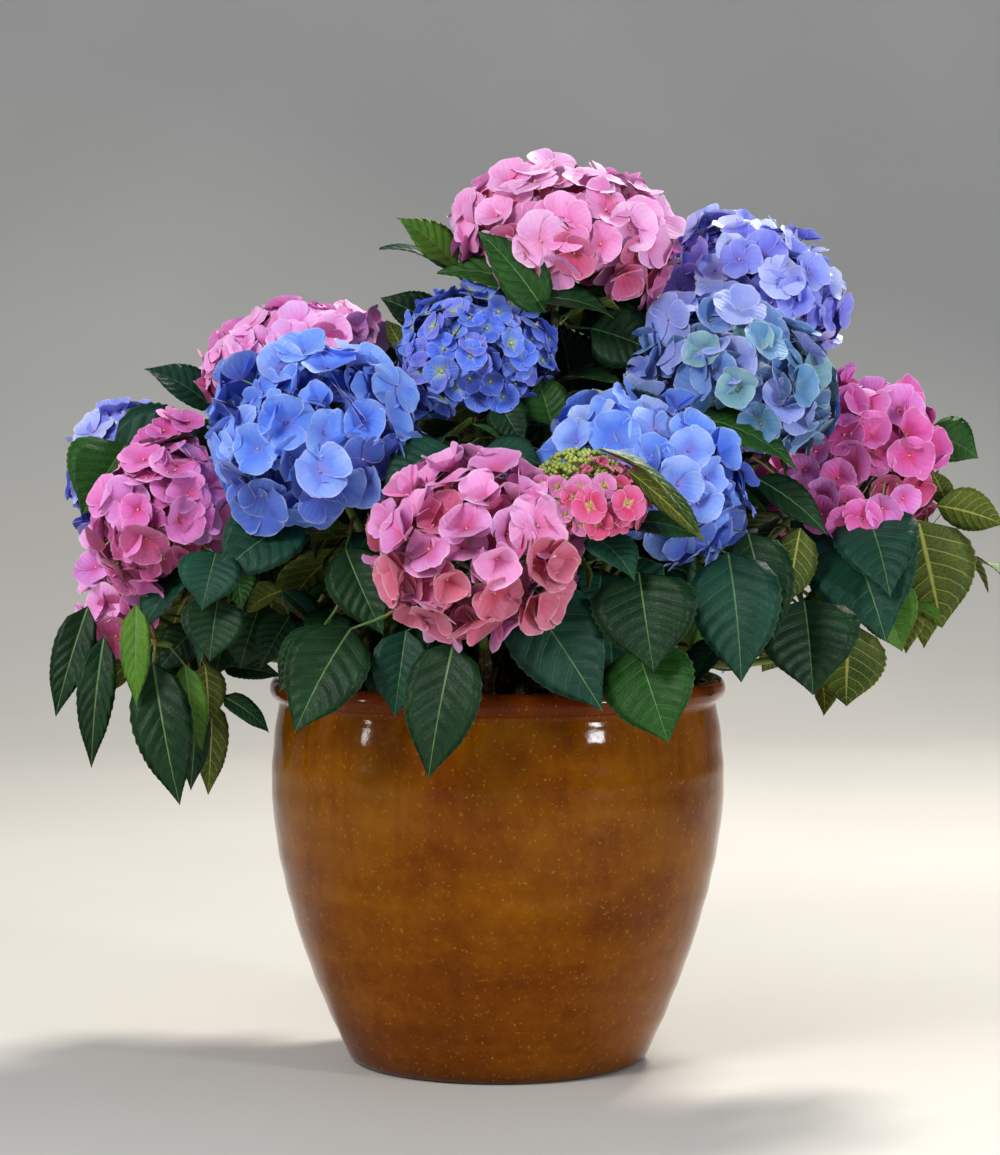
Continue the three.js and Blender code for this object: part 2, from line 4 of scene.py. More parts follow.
import bpy
import numpy as np
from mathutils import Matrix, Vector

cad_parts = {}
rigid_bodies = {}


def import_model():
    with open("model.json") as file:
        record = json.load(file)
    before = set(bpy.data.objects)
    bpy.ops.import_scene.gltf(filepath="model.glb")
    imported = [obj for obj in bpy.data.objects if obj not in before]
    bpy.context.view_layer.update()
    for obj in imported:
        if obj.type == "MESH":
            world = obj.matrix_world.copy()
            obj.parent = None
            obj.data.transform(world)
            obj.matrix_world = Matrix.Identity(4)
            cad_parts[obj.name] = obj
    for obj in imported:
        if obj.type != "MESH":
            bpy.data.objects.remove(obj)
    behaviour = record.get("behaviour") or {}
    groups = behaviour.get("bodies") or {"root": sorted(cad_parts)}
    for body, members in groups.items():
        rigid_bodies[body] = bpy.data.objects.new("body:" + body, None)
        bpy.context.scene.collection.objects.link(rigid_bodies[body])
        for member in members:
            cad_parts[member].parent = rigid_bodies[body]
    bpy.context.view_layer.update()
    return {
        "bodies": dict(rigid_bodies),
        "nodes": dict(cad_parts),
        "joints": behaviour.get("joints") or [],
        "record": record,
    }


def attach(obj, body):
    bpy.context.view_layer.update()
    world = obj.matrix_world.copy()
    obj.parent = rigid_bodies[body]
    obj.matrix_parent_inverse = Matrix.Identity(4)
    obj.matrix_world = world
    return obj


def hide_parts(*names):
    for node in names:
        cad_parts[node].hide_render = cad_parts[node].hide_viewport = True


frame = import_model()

# Hydrangea shrub in its glazed pot. Lengths are in millimetres until a mesh is made, then metres.
# The first part repeats the source's rule, so that every leaf and head grows from the same limb.

# Pot sizes
POT_WIDEST_RADIUS = 210
POT_WIDEST_HEIGHT = 258
POT_BASE_RADIUS = 136
POT_NECK_RADIUS = 202.5
POT_NECK_HEIGHT = 336
LIP_RADIUS = 211
RIM_TOP = 357
RIM_INNER_RADIUS = 190
WALL = 11
POT_FLOOR = 13
SOIL_TOP = 335
GAP = 0.3

# Stem sizes
FOOT_RADIUS = 6
NECK_RADIUS = 3
FOOT_FLARE = 1.3
SIDE_FOOT_RADIUS = 4.2
SIDE_GAP = 0.6
CANE_SIDES = 6
CANE_STEPS = 4
STEM_SIDES = 5
STEM_STEPS = 8
RISE_SHARE = 0.3
ARRIVE_SHARE = 0.33
FOOT_LEAN = 0.35
PIVOT = np.array([0.0, 0.0, 250.0])
PATH_SHARES = np.arange(61) / 60

# Leaf sizes
STALK_SHARE = 0.28
STALK_RADIUS = 2.1
STALK_SINK = 1.4
STALK_LIFT = 45
LEAF_ROWS = [[0.18, 0.28], [0.62, 0.3]]
LEAF_ARCH = 0.36
LEAF_FOLD = 0.2
GUARD = 0.5
RULE_SEED = 9176
RULE_SEED_STEP = 613
PAIR_SPACING = 26
PAIR_TURN = 74
LAST_LEAF = 5
FIRST_PAIR = 40
FIRST_PAIR_BARE = 4
BARE_FOOT = 8
BARE_SIDE_FOOT = 26
FIRST_DROOP = 10
DROOP_STEP = 19
STEEPEST = 78
LEAF_LENGTH = (92, 138)
INWARD_SHARE = 0.8
TRIES = [[0, 1], [28, 0.9], [-28, 0.84], [52, 0.78], [-52, 0.7], [14, 0.6]]

# Head sizes
HEAD_CUT = 0.55
STALK_END = 0.42
CLEARANCE = 3
GOLDEN_ANGLE = 137.508

# Where each shoot's head or tip is, half its head's width and height, where it starts, its leafy
# share, and the leaves placed one by one: millimetres down the stem, bearing, droop, length, roll.
SHOOTS = {
    "pink_top": dict(at=[60, -20, 759], half=[98, 70], foot=[18, 8], leafy=0.45, leaves=[
        [40, 24, 35, 104, 60]]),
    "violet_right_back": dict(at=[241, 90, 715], half=[86, 66], foot=[58, 50], leafy=0.5),
    "blue_right": dict(at=[219, -40, 635], half=[94, 65], foot=[76, 6], leafy=0.5, leaves=[
        [64, -15, 12, 85, 0], [40, -168, -18, 78, 0], [76, -14, 31, 117, 30]]),
    "blue_centre": dict(at=[-20, -60, 648], half=[69, 66], foot=[-12, -34], leafy=0.5, leaves=[
        [76, -131, 11, 109, 0], [64, -47, 9, 67, 0], [40, -79, 12, 66, 0]]),
    "blue_left": dict(at=[-165, -150, 579], half=[90, 80], foot=[-52, -66], leafy=0.68, leaves=[
        [148, -137, 46, 141, 30], [52, -68, 62, 103, 30], [64, -150, 47, 155, 30],
        [76, -176, 32, 96, 30], [112, -143, 41, 118, 0]]),
    "pink_left_back": dict(at=[-192, 10, 657], half=[82, 58], foot=[-60, 20], leafy=0.5),
    "pink_left": dict(at=[-301, -115, 508], half=[68, 62], foot=[-104, -40], leafy=0.5, leaves=[
        [40, -94, 38, 69, 0]]),
    "violet_left": dict(at=[-361, 40, 549], half=[58, 50], foot=[-108, 30], leafy=0.5, leaves=[
        [52, 116, -56, 121, -60]]),
    "pink_front": dict(at=[-22, -240, 486], half=[84, 70], foot=[-8, -110], leafy=0.6, leaves=[
        [52, -146, 77, 128, 30], [40, -30, 44, 130, -30]]),
    "blue_front_right": dict(at=[134, -130, 543], half=[90, 68], foot=[54, -80], leafy=0.74, leaves=[
        [52, -77, 47, 128, 0], [136, -62, 35, 148, -30], [40, -6, 55, 140, -60]]),
    "pink_right": dict(at=[345, 40, 560], half=[76, 66], foot=[116, -14], leafy=0.5, leaves=[
        [112, -61, 61, 133, -30], [52, -42, 43, 104, 0], [64, -26, 57, 120, -30],
        [76, -83, 49, 82, 0]]),
    "blue_back": dict(at=[-60, 225, 560], half=[86, 68], foot=[-18, 78], leafy=0.6),
    "pink_back": dict(at=[110, 240, 520], half=[82, 66], foot=[36, 100], leafy=0.6),
    "pink_right_back": dict(at=[262, 215, 500], half=[76, 60], foot=[92, 64], leafy=0.6),
    "violet_back_left": dict(at=[-215, 165, 545], half=[80, 64], foot=[-70, 82], leafy=0.6),
    "pink_left_low": dict(at=[-335, -50, 425], half=[48, 38], side=["pink_left", 0.3], leaves=[
        [40, -129, 50, 78, -60]]),
    "bud_front": dict(at=[79, -232, 532], half=[46, 24], side=["blue_front_right", 0.12]),
    "pink_back_low": dict(at=[-150, 280, 430], half=[62, 52], side=["blue_back", 0.3]),
    "blue_back_low": dict(at=[205, 300, 400], half=[60, 48], side=["pink_back", 0.3]),
    "leaf_top_left": dict(at=[-18, 30, 719], side=["pink_top", 0.42], leaves=[
        [5, -161, -17, 84, 60], [24, -123, -11, 62, 0], [72, -162, -21, 93, -30]]),
    "leaf_right": dict(at=[407, 25, 493], side=["pink_right", 0.4], leaves=[
        [5, -44, -2, 80, -15]]),
    "hang_left": dict(at=[-313, -95, 397], side=["violet_left", 0.5], hanging=34, leaves=[
        [5, -154, 45, 91, 0], [5, -46, 83, 124, 0], [24, 60, 87, 109, -30], [36, 52, 87, 117, -30],
        [48, -8, 58, 85, 30]]),
    "hang_right": dict(at=[308, 0, 390], side=["pink_right", 0.22], hanging=20, leaves=[
        [5, -79, 52, 68, 30], [8, 24, 10, 85, 30]]),
}


# The rule, as in the source
def unit(a):
    """A direction, or rows of them, made one long."""
    return a / np.linalg.norm(a, axis=-1, keepdims=True)


def heading(bearing, rise):
    b, r = math.radians(bearing), math.radians(rise)
    return np.array([math.cos(b) * math.cos(r), math.sin(b) * math.cos(r), math.sin(r)])


def chance(state):
    """The source's random numbers, from a seed."""
    cycle = 2 ** 32

    def pick(low, high):
        nonlocal state
        state = (state * 1664525 + 1013904223) % cycle
        return low + (high - low) * state / cycle

    return pick


def point_on(path, t):
    t = np.asarray(t, float)
    s = 1 - t
    return np.stack([s * s * s, 3 * s * s * t, 3 * s * t * t, t * t * t], -1) @ path


def slope_on(path, t):
    t = np.asarray(t, float)
    s = 1 - t
    return unit(np.stack([3 * s * s, 6 * s * t, 3 * t * t], -1) @ (path[1:] - path[:-1]))


def stem_radius(shoot, t):
    foot = SIDE_FOOT_RADIUS if "side" in shoot else FOOT_RADIUS
    return foot + (NECK_RADIUS - foot) * t


def measure(limb):
    steps = np.linalg.norm(np.diff(point_on(limb["path"], PATH_SHARES), axis=0), axis=1)
    limb["lengths"] = np.append(0, np.cumsum(steps))
    limb["length"] = float(limb["lengths"][-1])


def share_at(limb, down):
    return float(np.interp(limb["length"] - down, limb["lengths"], PATH_SHARES))


def lay_path(shoot):
    at = shoot["at"] = np.array(shoot["at"], float)
    shoot["axis"] = unit(at - PIVOT)
    end = at - shoot["axis"] * shoot["half"][1] * STALK_END if "half" in shoot else at
    if "foot" in shoot:
        start = np.array([*shoot["foot"], SOIL_TOP + GAP])
        rise = unit(np.append(FOOT_LEAN * unit(start[:2]), 1))
    else:
        parent, share = SHOOTS[shoot["side"][0]], shoot["side"][1]
        along = slope_on(parent["path"], share)
        start = point_on(parent["path"], share)
        away = end - start
        rise = unit(away - along * (away @ along))
        start = start + rise * (stem_radius(parent, share) + SIDE_GAP)
    reach = math.dist(start, end)
    shoot["path"] = np.array([start, start + rise * reach * RISE_SHARE,
                              end - shoot["axis"] * reach * ARRIVE_SHARE, end])
    measure(shoot)


def ring_frames(limb, shares, flare):
    """Middles and two cross directions along a limb. The foot of a cane is cut level."""
    across = limb["path"][3] - limb["path"][0]
    level = unit(np.array([-across[1], across[0], 0]))
    along = slope_on(limb["path"], shares)
    if flare:
        along[0] = [0, 0, 1]
    x = unit(level - along * (along @ level)[:, None])
    return point_on(limb["path"], shares), x, np.cross(along, x)


def turns(count):
    return 2 * np.pi * np.arange(count) / count


def rings(middles, x, y, radius, sides):
    """Rings of points. The radius is given by ring, or by ring and side."""
    angle = turns(sides)[:, None]
    ring = x[:, None] * np.cos(angle) + y[:, None] * np.sin(angle)
    return (middles[:, None] + radius[..., None] * ring).reshape(-1, 3)


def grid_quads(numbers):
    """The quads of a grid, from the numbers of its points."""
    corners = [numbers[:-1, :-1], numbers[:-1, 1:], numbers[1:, 1:], numbers[1:, :-1]]
    return np.stack(corners, -1).reshape(-1, 4)


def numbered(rows, columns, first=0):
    """The numbers of a grid's points, row by row."""
    return first + np.arange(rows * columns).reshape(rows, columns)


def ring_quads(count, sides, first=0):
    numbers = numbered(count, sides, first)
    return grid_quads(np.hstack([numbers, numbers[:, :1]]))


def halves(quads):
    """Two triangles for each quad."""
    return np.concatenate([quads[:, :3], quads[:, [0, 2, 3]]])


def end_fans(count, sides):
    """The triangles that close the first and the last of some rings."""
    j = np.arange(1, sides - 1)
    fan = np.stack([0 * j, j + 1, j], -1)
    return np.concatenate([fan, fan[:, [0, 2, 1]] + (count - 1) * sides])


def tube(limb, start, end, sides, steps, grow, flare):
    shares = start + (end - start) * np.arange(steps + 1) / steps
    radius = stem_radius(limb, shares)
    if flare:
        radius[0] *= flare
    points = rings(*ring_frames(limb, shares, flare), (radius + grow)[:, None], sides)
    return points, np.concatenate([halves(ring_quads(steps + 1, sides)), end_fans(steps + 1, sides)])


def rule_frame(limb, leaf):
    """Where a leaf of the rule stands: its root, the base of its blade and its directions."""
    down, bearing, droop, length, roll = leaf
    along = heading(bearing, -droop)
    flat = heading(bearing - 90, 0)
    up = np.cross(flat, along)
    c, s = math.cos(math.radians(roll)), math.sin(math.radians(roll))
    root = point_on(limb["path"], share_at(limb, down))
    stalk = heading(bearing, STALK_LIFT - droop)
    return dict(root=root, stalk=stalk, base=root + stalk * STALK_SHARE * length, along=along,
                side=flat * c + up * s, up=up * c - flat * s, length=length, down=down)


# The source's leaf: three points at each end of the stalk, two rows of three, and the tip
LEAF_FACES = np.concatenate([
    [[0, 2, 1]], halves(ring_quads(4, 3)), [[9, 10, 12], [10, 11, 12], [11, 9, 12]],
])
BLADE_FACES = LEAF_FACES[(LEAF_FACES >= 3).all(1)] - 3


def leaf_shape(frame, grow):
    """The source's leaf, used here to keep leaves apart."""
    along, side, up, base, length = (frame[key] for key in ("along", "side", "up", "base", "length"))
    lift = unit(np.cross(side, frame["stalk"]))
    corners = (STALK_RADIUS + grow) * np.array([0.5 * lift - side, -lift, 0.5 * lift + side])
    points = [frame["root"] + frame["stalk"] * STALK_SINK + corners,
              base + along * 0.01 * length + corners]
    for share, half in LEAF_ROWS:
        middle = base + along * share * length + up * LEAF_ARCH * length * share * (1 - share)
        out = side * (half * length + grow)
        fold = up * (LEAF_FOLD * half * length + grow)
        points.append([middle - out + fold, middle - up * grow, middle + out + fold])
    return np.concatenate([*points, [base + along * (length + grow)]])


SAMPLE_SHARES = np.array([0, 0.25, 0.5, 0.75, 1])[:, None]


class Shell:
    """A closed form of triangles, for telling whether it crosses another."""

    def __init__(self, points, faces, owner):
        self.owner = owner
        self.low, self.high = points.min(0), points.max(0)
        self.corner = points[faces[:, 0]]
        self.one = points[faces[:, 1]] - self.corner
        self.two = points[faces[:, 2]] - self.corner
        pairs = np.sort(np.concatenate([faces[:, :2], faces[:, 1:], faces[:, ::2]]), axis=1)
        number = len(points)
        pairs = np.unique(pairs[:, 0] * number + pairs[:, 1])
        self.starts = points[pairs // number][:, None]
        self.runs = points[pairs % number][:, None] - self.starts

    def samples(self):
        return (self.starts + self.runs * SAMPLE_SHARES).reshape(-1, 3)


def edges_meet(first, second):
    h = np.cross(first.runs, second.two)
    det = (second.one * h).sum(-1)
    flat = np.abs(det) < 1e-9
    det = np.where(flat, 1, det)
    s = first.starts - second.corner
    u = (s * h).sum(-1) / det
    k = np.cross(s, second.one)
    v = (first.runs * k).sum(-1) / det
    t = (second.two * k).sum(-1) / det
    return bool((~flat & (u >= 0) & (v >= 0) & (u + v <= 1) & (t >= 0) & (t <= 1)).any())


def shells_meet(first, second):
    if (first.high < second.low).any() or (first.low > second.high).any():
        return False
    return edges_meet(first, second) or edges_meet(second, first)


def in_heads(points, grow):
    for shoot in heads:
        d = points - shoot["at"]
        h = d @ shoot["axis"]
        a, b = shoot["half"]
        share = ((d * d).sum(1) - h * h) / (a + grow) ** 2 + h ** 2 / (b + grow) ** 2
        if ((h > -HEAD_CUT * b - grow) & (share < 1)).any():
            return True
    return False


def pot_radius(z):
    z = np.asarray(z, float)
    above = POT_WIDEST_RADIUS - 7.5 * ((z - POT_WIDEST_HEIGHT) / 75) ** 2
    drop = np.clip((POT_WIDEST_HEIGHT - z) / POT_WIDEST_HEIGHT, 0, 1)
    below = POT_WIDEST_RADIUS - (POT_WIDEST_RADIUS - POT_BASE_RADIUS) * drop ** 1.7
    return np.where(z > POT_NECK_HEIGHT, LIP_RADIUS, np.where(z > POT_WIDEST_HEIGHT, above, below))


def in_pot(points, grow):
    r = np.hypot(points[:, 0], points[:, 1])
    z = points[:, 2]
    hollow = (r < RIM_INNER_RADIUS - grow) & (z > SOIL_TOP + grow + 1)
    reach = np.maximum(pot_radius(z), np.where(z > POT_NECK_HEIGHT, LIP_RADIUS + 1, 0)) + grow
    return bool(((z <= RIM_TOP + grow) & ~hollow & (r <= reach)).any())


def place_leaf(name, limb, leaf, guard=GUARD, clearance=CLEARANCE):
    """Gives a limb one more leaf, if it stays clear of the pot, the heads and other leaves."""
    frame = rule_frame(limb, leaf)
    points = leaf_shape(frame, guard)
    shell = Shell(points, LEAF_FACES, name + " leaf")
    samples = shell.samples()
    if in_pot(samples, clearance) or in_heads(samples, clearance):
        return False
    if any(other.owner != name and shells_meet(shell, other) for other in shells):
        return False
    if shells_meet(Shell(points[3:], BLADE_FACES, name), limb["shell"]):
        return False
    shell.frame = frame
    shells.append(shell)
    limb["placed"].append(shell)
    return True


shells = []
heads = [shoot for shoot in SHOOTS.values() if "half" in shoot]
for shoot in SHOOTS.values():
    lay_path(shoot)
for name, shoot in SHOOTS.items():
    shoot["shell"] = Shell(*tube(shoot, 0, 1, STEM_SIDES, STEM_STEPS, GUARD, 0), name)
    shoot["split"] = 0 if "side" in shoot else share_at(shoot, shoot["length"] * shoot["leafy"])
    shells.append(shoot["shell"])
    if "foot" in shoot:
        cane = tube(shoot, 0, shoot["split"], CANE_SIDES, CANE_STEPS, GUARD, FOOT_FLARE)
        shells.append(Shell(*cane, name + " cane"))
for name, shoot in SHOOTS.items():
    shoot["placed"] = []
    for leaf in shoot.get("leaves", []):
        place_leaf(name, shoot, leaf)
    shoot["by_hand"] = len(shoot["placed"])

for number, (name, shoot) in enumerate(SHOOTS.items()):
    pick = chance(RULE_SEED + RULE_SEED_STEP * number)
    leafy_length = shoot["length"] * shoot.get("leafy", 1)
    leafy_length -= BARE_SIDE_FOOT if "side" in shoot else BARE_FOOT
    turn = pick(0, 180)
    pair = 0
    down = FIRST_PAIR if "half" in shoot else FIRST_PAIR_BARE
    while down < leafy_length:
        for half in (0, 180):
            bearing = turn + PAIR_TURN * pair + half + pick(-16, 16)
            droop = FIRST_DROOP + DROOP_STEP * pair + shoot.get("hanging", 0) + pick(-12, 14)
            roll = pick(-22, 22)
            place = max(LAST_LEAF, down + pick(-6, 6))
            long = pick(*LEAF_LENGTH)
            root = point_on(shoot["path"], share_at(shoot, place))
            if heading(bearing, 0)[:2] @ root[:2] < 0:
                long *= INWARD_SHARE
            for swing, share in TRIES:
                leaf = [place, bearing + swing, min(STEEPEST, droop), long * share, roll]
                if place_leaf(name, shoot, leaf):
                    break
        pair += 1
        down += PAIR_SPACING
print("leaves placed as in the source:", sum(len(shoot["placed"]) for shoot in SHOOTS.values()))

# The camera's place in the frame and its scale in the picture, which is 1000 by 1155 points
FOCAL_POINTS = 3426.0
PICTURE_WIDTH = 1000.0
PICTURE_HEIGHT = 1155.0
CAMERA_PLACE = np.array([2.2, -3170.0, 613.0])
CAMERA_DIP = math.radians(2.98)
DIP_COSINE = math.cos(CAMERA_DIP)
DIP_SINE = math.sin(CAMERA_DIP)


def seen_place(across, down, depth):
    """The place at a depth that stands at a picture place."""
    v = down - PICTURE_HEIGHT / 2
    ahead = FOCAL_POINTS * DIP_COSINE - v * DIP_SINE
    rise = -FOCAL_POINTS * DIP_SINE - v * DIP_COSINE
    ray = np.array([across - PICTURE_WIDTH / 2, ahead, rise])
    return CAMERA_PLACE + (depth - CAMERA_PLACE[1]) / ahead * ray


def picture_place(point):
    """The picture place of a point: across and down."""
    x, y, z = point - CAMERA_PLACE
    scale = FOCAL_POINTS / (y * DIP_COSINE - z * DIP_SINE)
    return PICTURE_WIDTH / 2 + scale * x, PICTURE_HEIGHT / 2 - scale * (y * DIP_SINE + z * DIP_COSINE)


# Parts of the picture that stay open or dark: left, top, right, bottom, and the depth in front of
# which no leaf of the rule or of a twig may stand there.
OPEN_PARTS = [
    [222, 682, 284, 1100, 1000],
    [866, 662, 1000, 1100, 1000],
    [700, 724, 900, 1100, 1000],
    [724, 672, 806, 1100, 1000],
    [0, 724, 170, 1100, 1000],
    [466, 632, 530, 700, -60],
    [530, 668, 604, 770, 1000],
    [530, 325, 584, 386, -40],
    [702, 478, 754, 530, -60],
    [262, 572, 322, 626, -100],
    [780, 440, 872, 518, 30],
]
FARTHEST_RIGHT = 474


def in_the_open(frame):
    for share in (0.1, 0.5, 1):
        place = frame["base"] + frame["along"] * share * frame["length"]
        across, down = picture_place(place)
        if place[0] > FARTHEST_RIGHT or any(
                left < across < right and top < down < bottom and place[1] < depth
                for left, top, right, bottom, depth in OPEN_PARTS):
            return True
    return False


# Leaves that the photo shows one by one, in place of the source's that stand for them. A row has
# the picture place and depth of the blade's base, the same for its tip, how the blade faces (0 to
# the camera, 90 up, 170 away from it), how broad it is, and its tone.
SEEN_LEAVES = [
    [300, 518, -165, 218, 575, -200, 35, 1.1, 1], [213, 408, 15, 146, 366, -5, 40, 0.8, 1],
    [110, 458, -40, 214, 442, -20, 10, 1.25, 1], [126, 444, -50, 84, 514, -84, 5, 1.45, 2],
    [195, 437, -100, 131, 463, -110, 92, 0.6, 3], [222, 420, -60, 200, 462, -70, 20, 1.2, 0],
    [216, 552, -190, 203, 609, -215, 10, 1.35, 1], [218, 599, -185, 209, 661, -205, 5, 1.35, 0],
    [345, 548, -170, 381, 636, -200, 0, 0.9, 0], [352, 627, -225, 290, 730, -262, 20, 1.0, 0],
    [322, 628, -205, 280, 692, -222, 10, 0.9, 0], [502, 640, 90, 448, 652, 90, 0, 1.3, 0],
    [88, 606, -110, 55, 716, -125, 10, 0.5, 0], [104, 636, -125, 87, 767, -135, 0, 0.42, 0],
    [136, 604, -170, 139, 706, -172, -20, 0.45, 3], [153, 662, -150, 179, 805, -165, 0, 0.62, 0],
    [185, 664, -125, 198, 752, -128, 0, 0.55, 3], [205, 664, -100, 211, 724, -105, 175, 0.9, 3],
    [198, 700, -90, 193, 791, -95, 0, 0.5, 0], [212, 700, -85, 209, 795, -90, 175, 0.55, 3],
    [222, 696, -90, 270, 731, -95, 45, 0.6, 0], [128, 662, -120, 104, 692, -125, 150, 0.9, 3],
    [98, 640, -118, 82, 690, -122, 165, 0.6, 3], [262, 562, -60, 238, 608, -70, 10, 1.2, 0],
    [196, 628, -80, 158, 668, -90, 20, 1.1, 0], [282, 590, -140, 244, 612, -165, 150, 0.9, 3],
    [290, 615, -120, 262, 668, -140, 20, 0.9, 0], [262, 600, -85, 238, 668, -95, 5, 1.3, 0],
    [232, 612, -60, 216, 676, -70, 0, 1.2, 0], [454, 640, -250, 422, 777, -268, 0, 0.8, 0],
    [406, 630, -215, 394, 716, -225, 0, 0.9, 1], [522, 589, -225, 607, 707, -262, 5, 0.85, 1],
    [639, 572, -235, 650, 671, -268, 0, 1.35, 0], [636, 645, -228, 668, 742, -255, 0, 1.3, 2],
    [728, 552, -190, 747, 680, -228, 0, 1.0, 1], [748, 532, -160, 772, 640, -185, 0, 0.9, 0],
    [600, 448, -240, 704, 540, -262, 88, 0.45, 2], [628, 470, -262, 706, 541, -268, 160, 0.3, 3],
    [618, 522, -215, 700, 538, -240, 55, 0.8, 0], [452, 448, -185, 384, 486, -205, 45, 1.2, 1],
    [482, 452, -175, 542, 466, -190, 50, 1.0, 1], [473, 424, -120, 508, 449, -135, 80, 0.5, 2],
    [498, 402, -105, 522, 446, -120, 20, 1.1, 0], [552, 425, -95, 538, 374, -80, 0, 1.2, 2],
    [590, 328, -50, 665, 352, -60, 10, 1.15, 0], [575, 402, 30, 560, 322, 50, 10, 1.2, 0],
    [622, 384, 60, 572, 340, 60, 20, 1.2, 0], [528, 352, 60, 592, 332, 70, 0, 1.2, 0],
    [574, 300, 50, 640, 318, 40, 10, 1.3, 0], [600, 292, 20, 660, 378, 0, 15, 1.0, 0],
    [522, 452, 60, 552, 418, 60, 10, 1.5, 0], [536, 320, 75, 598, 316, 68, 0, 1.4, 0],
    [402, 374, 40, 391, 338, 38, 10, 1.35, 0], [302, 602, 60, 291, 644, 52, 0, 1.4, 0],
    [222, 666, -60, 282, 674, -72, 20, 0.6, 0], [704, 652, 30, 744, 670, 20, 10, 0.8, 0],
    [545, 312, -100, 478, 232, -115, 30, 0.7, 2], [530, 298, -90, 614, 316, -100, 55, 0.8, 0],
    [560, 304, -60, 440, 264, -60, 50, 0.6, 2], [458, 268, -10, 397, 218, -25, 35, 0.8, 3],
    [455, 270, -15, 380, 247, -30, 70, 0.7, 1], [446, 332, -10, 381, 296, -20, 20, 0.9, 0],
    [404, 352, -40, 385, 320, -45, 150, 0.8, 3], [668, 406, -110, 612, 387, -120, 75, 0.8, 2],
    [683, 415, -115, 800, 466, -120, 60, 0.8, 2], [756, 478, -90, 830, 532, -95, 30, 0.6, 0],
    [804, 600, -130, 815, 694, -165, 0, 1.45, 0], [866, 512, -44, 894, 592, -122, 5, 1.1, 1],
    [842, 522, -32, 892, 638, -108, 5, 1.1, 1], [918, 520, -20, 947, 627, -45, 170, 1.2, 3],
    [936, 505, 0, 1004, 526, -15, 150, 1.0, 3], [925, 432, 35, 979, 456, 20, 30, 1.2, 2],
    [948, 505, 10, 932, 470, 0, 160, 0.9, 3], [872, 580, -60, 905, 650, -75, 20, 1.1, 3],
    [800, 528, -100, 790, 604, -120, 170, 0.9, 3], [850, 622, -95, 846, 707, -115, 175, 1.2, 3],
]
CLOSE_GUARD = 0.1
LONGEST_STALK = 44
STALK_LEFT = 30
BRIDGE_ARCH = 0.12
HANDLE_SHARE = 0.33
twigs = []


def nearest_limb(place):
    """The shoot that comes nearest to a place: how near, its name, and how far along it."""
    found = []
    for name, shoot in SHOOTS.items():
        shares = np.linspace(shoot["split"], 0.96, 40)
        away = np.linalg.norm(point_on(shoot["path"], shares) - place, axis=1)
        found.append((away.min(), name, shares[away.argmin()]))
    return min(found)


def new_twig(owner, *corners):
    twig = dict(owner=owner, path=np.array(corners), placed=[], frames=[])
    measure(twig)
    return twig


seen_shells = []
for shoot in SHOOTS.values():
    shoot["frames"] = []
for row in SEEN_LEAVES:
    base = seen_place(*row[:3])
    tip = seen_place(*row[3:6])
    along = unit(tip - base)
    face = math.radians(row[6])
    up = np.array([0, -math.cos(face), math.sin(face)])
    up = unit(up - along * (up @ along))
    away, name, share = nearest_limb(base)
    root = point_on(SHOOTS[name]["path"], share)
    if away > LONGEST_STALK:
        # A twig without leaves of its own bridges the way to where the stalk begins
        end = base + (root - base) * STALK_LEFT / away
        run = HANDLE_SHARE * (end - root)
        lift = np.array([0, 0, BRIDGE_ARCH * away])
        twigs.append(new_twig(name, root, root + run + lift, end - run + 0.7 * lift, end))
        root = end
    frame = dict(root=root, stalk=unit(base - root), base=base, along=along, side=np.cross(along, up),
                 up=up, length=math.dist(base, tip), broad=row[7], tone=row[8])
    SHOOTS[name]["frames"].append(frame)
    seen_shells.append(Shell(leaf_shape(frame, CLOSE_GUARD), LEAF_FACES, "seen leaf"))

# The rule's leaves stay, but for those that a seen leaf crosses and those in an open part.
kept_shells = []
for shoot in SHOOTS.values():
    shoot["placed"] = [
        shell for shell in shoot["placed"][shoot["by_hand"]:]
        if not in_the_open(shell.frame) and not any(shells_meet(shell, other) for other in seen_shells)
    ]
    shoot["frames"] += [shell.frame for shell in shoot["placed"]]
    kept_shells += shoot["placed"]
print("leaves kept of the rule's:", len(kept_shells), "seen leaves:", len(seen_shells))
shells = [shell for shell in shells if not shell.owner.endswith("leaf")] + kept_shells + seen_shells

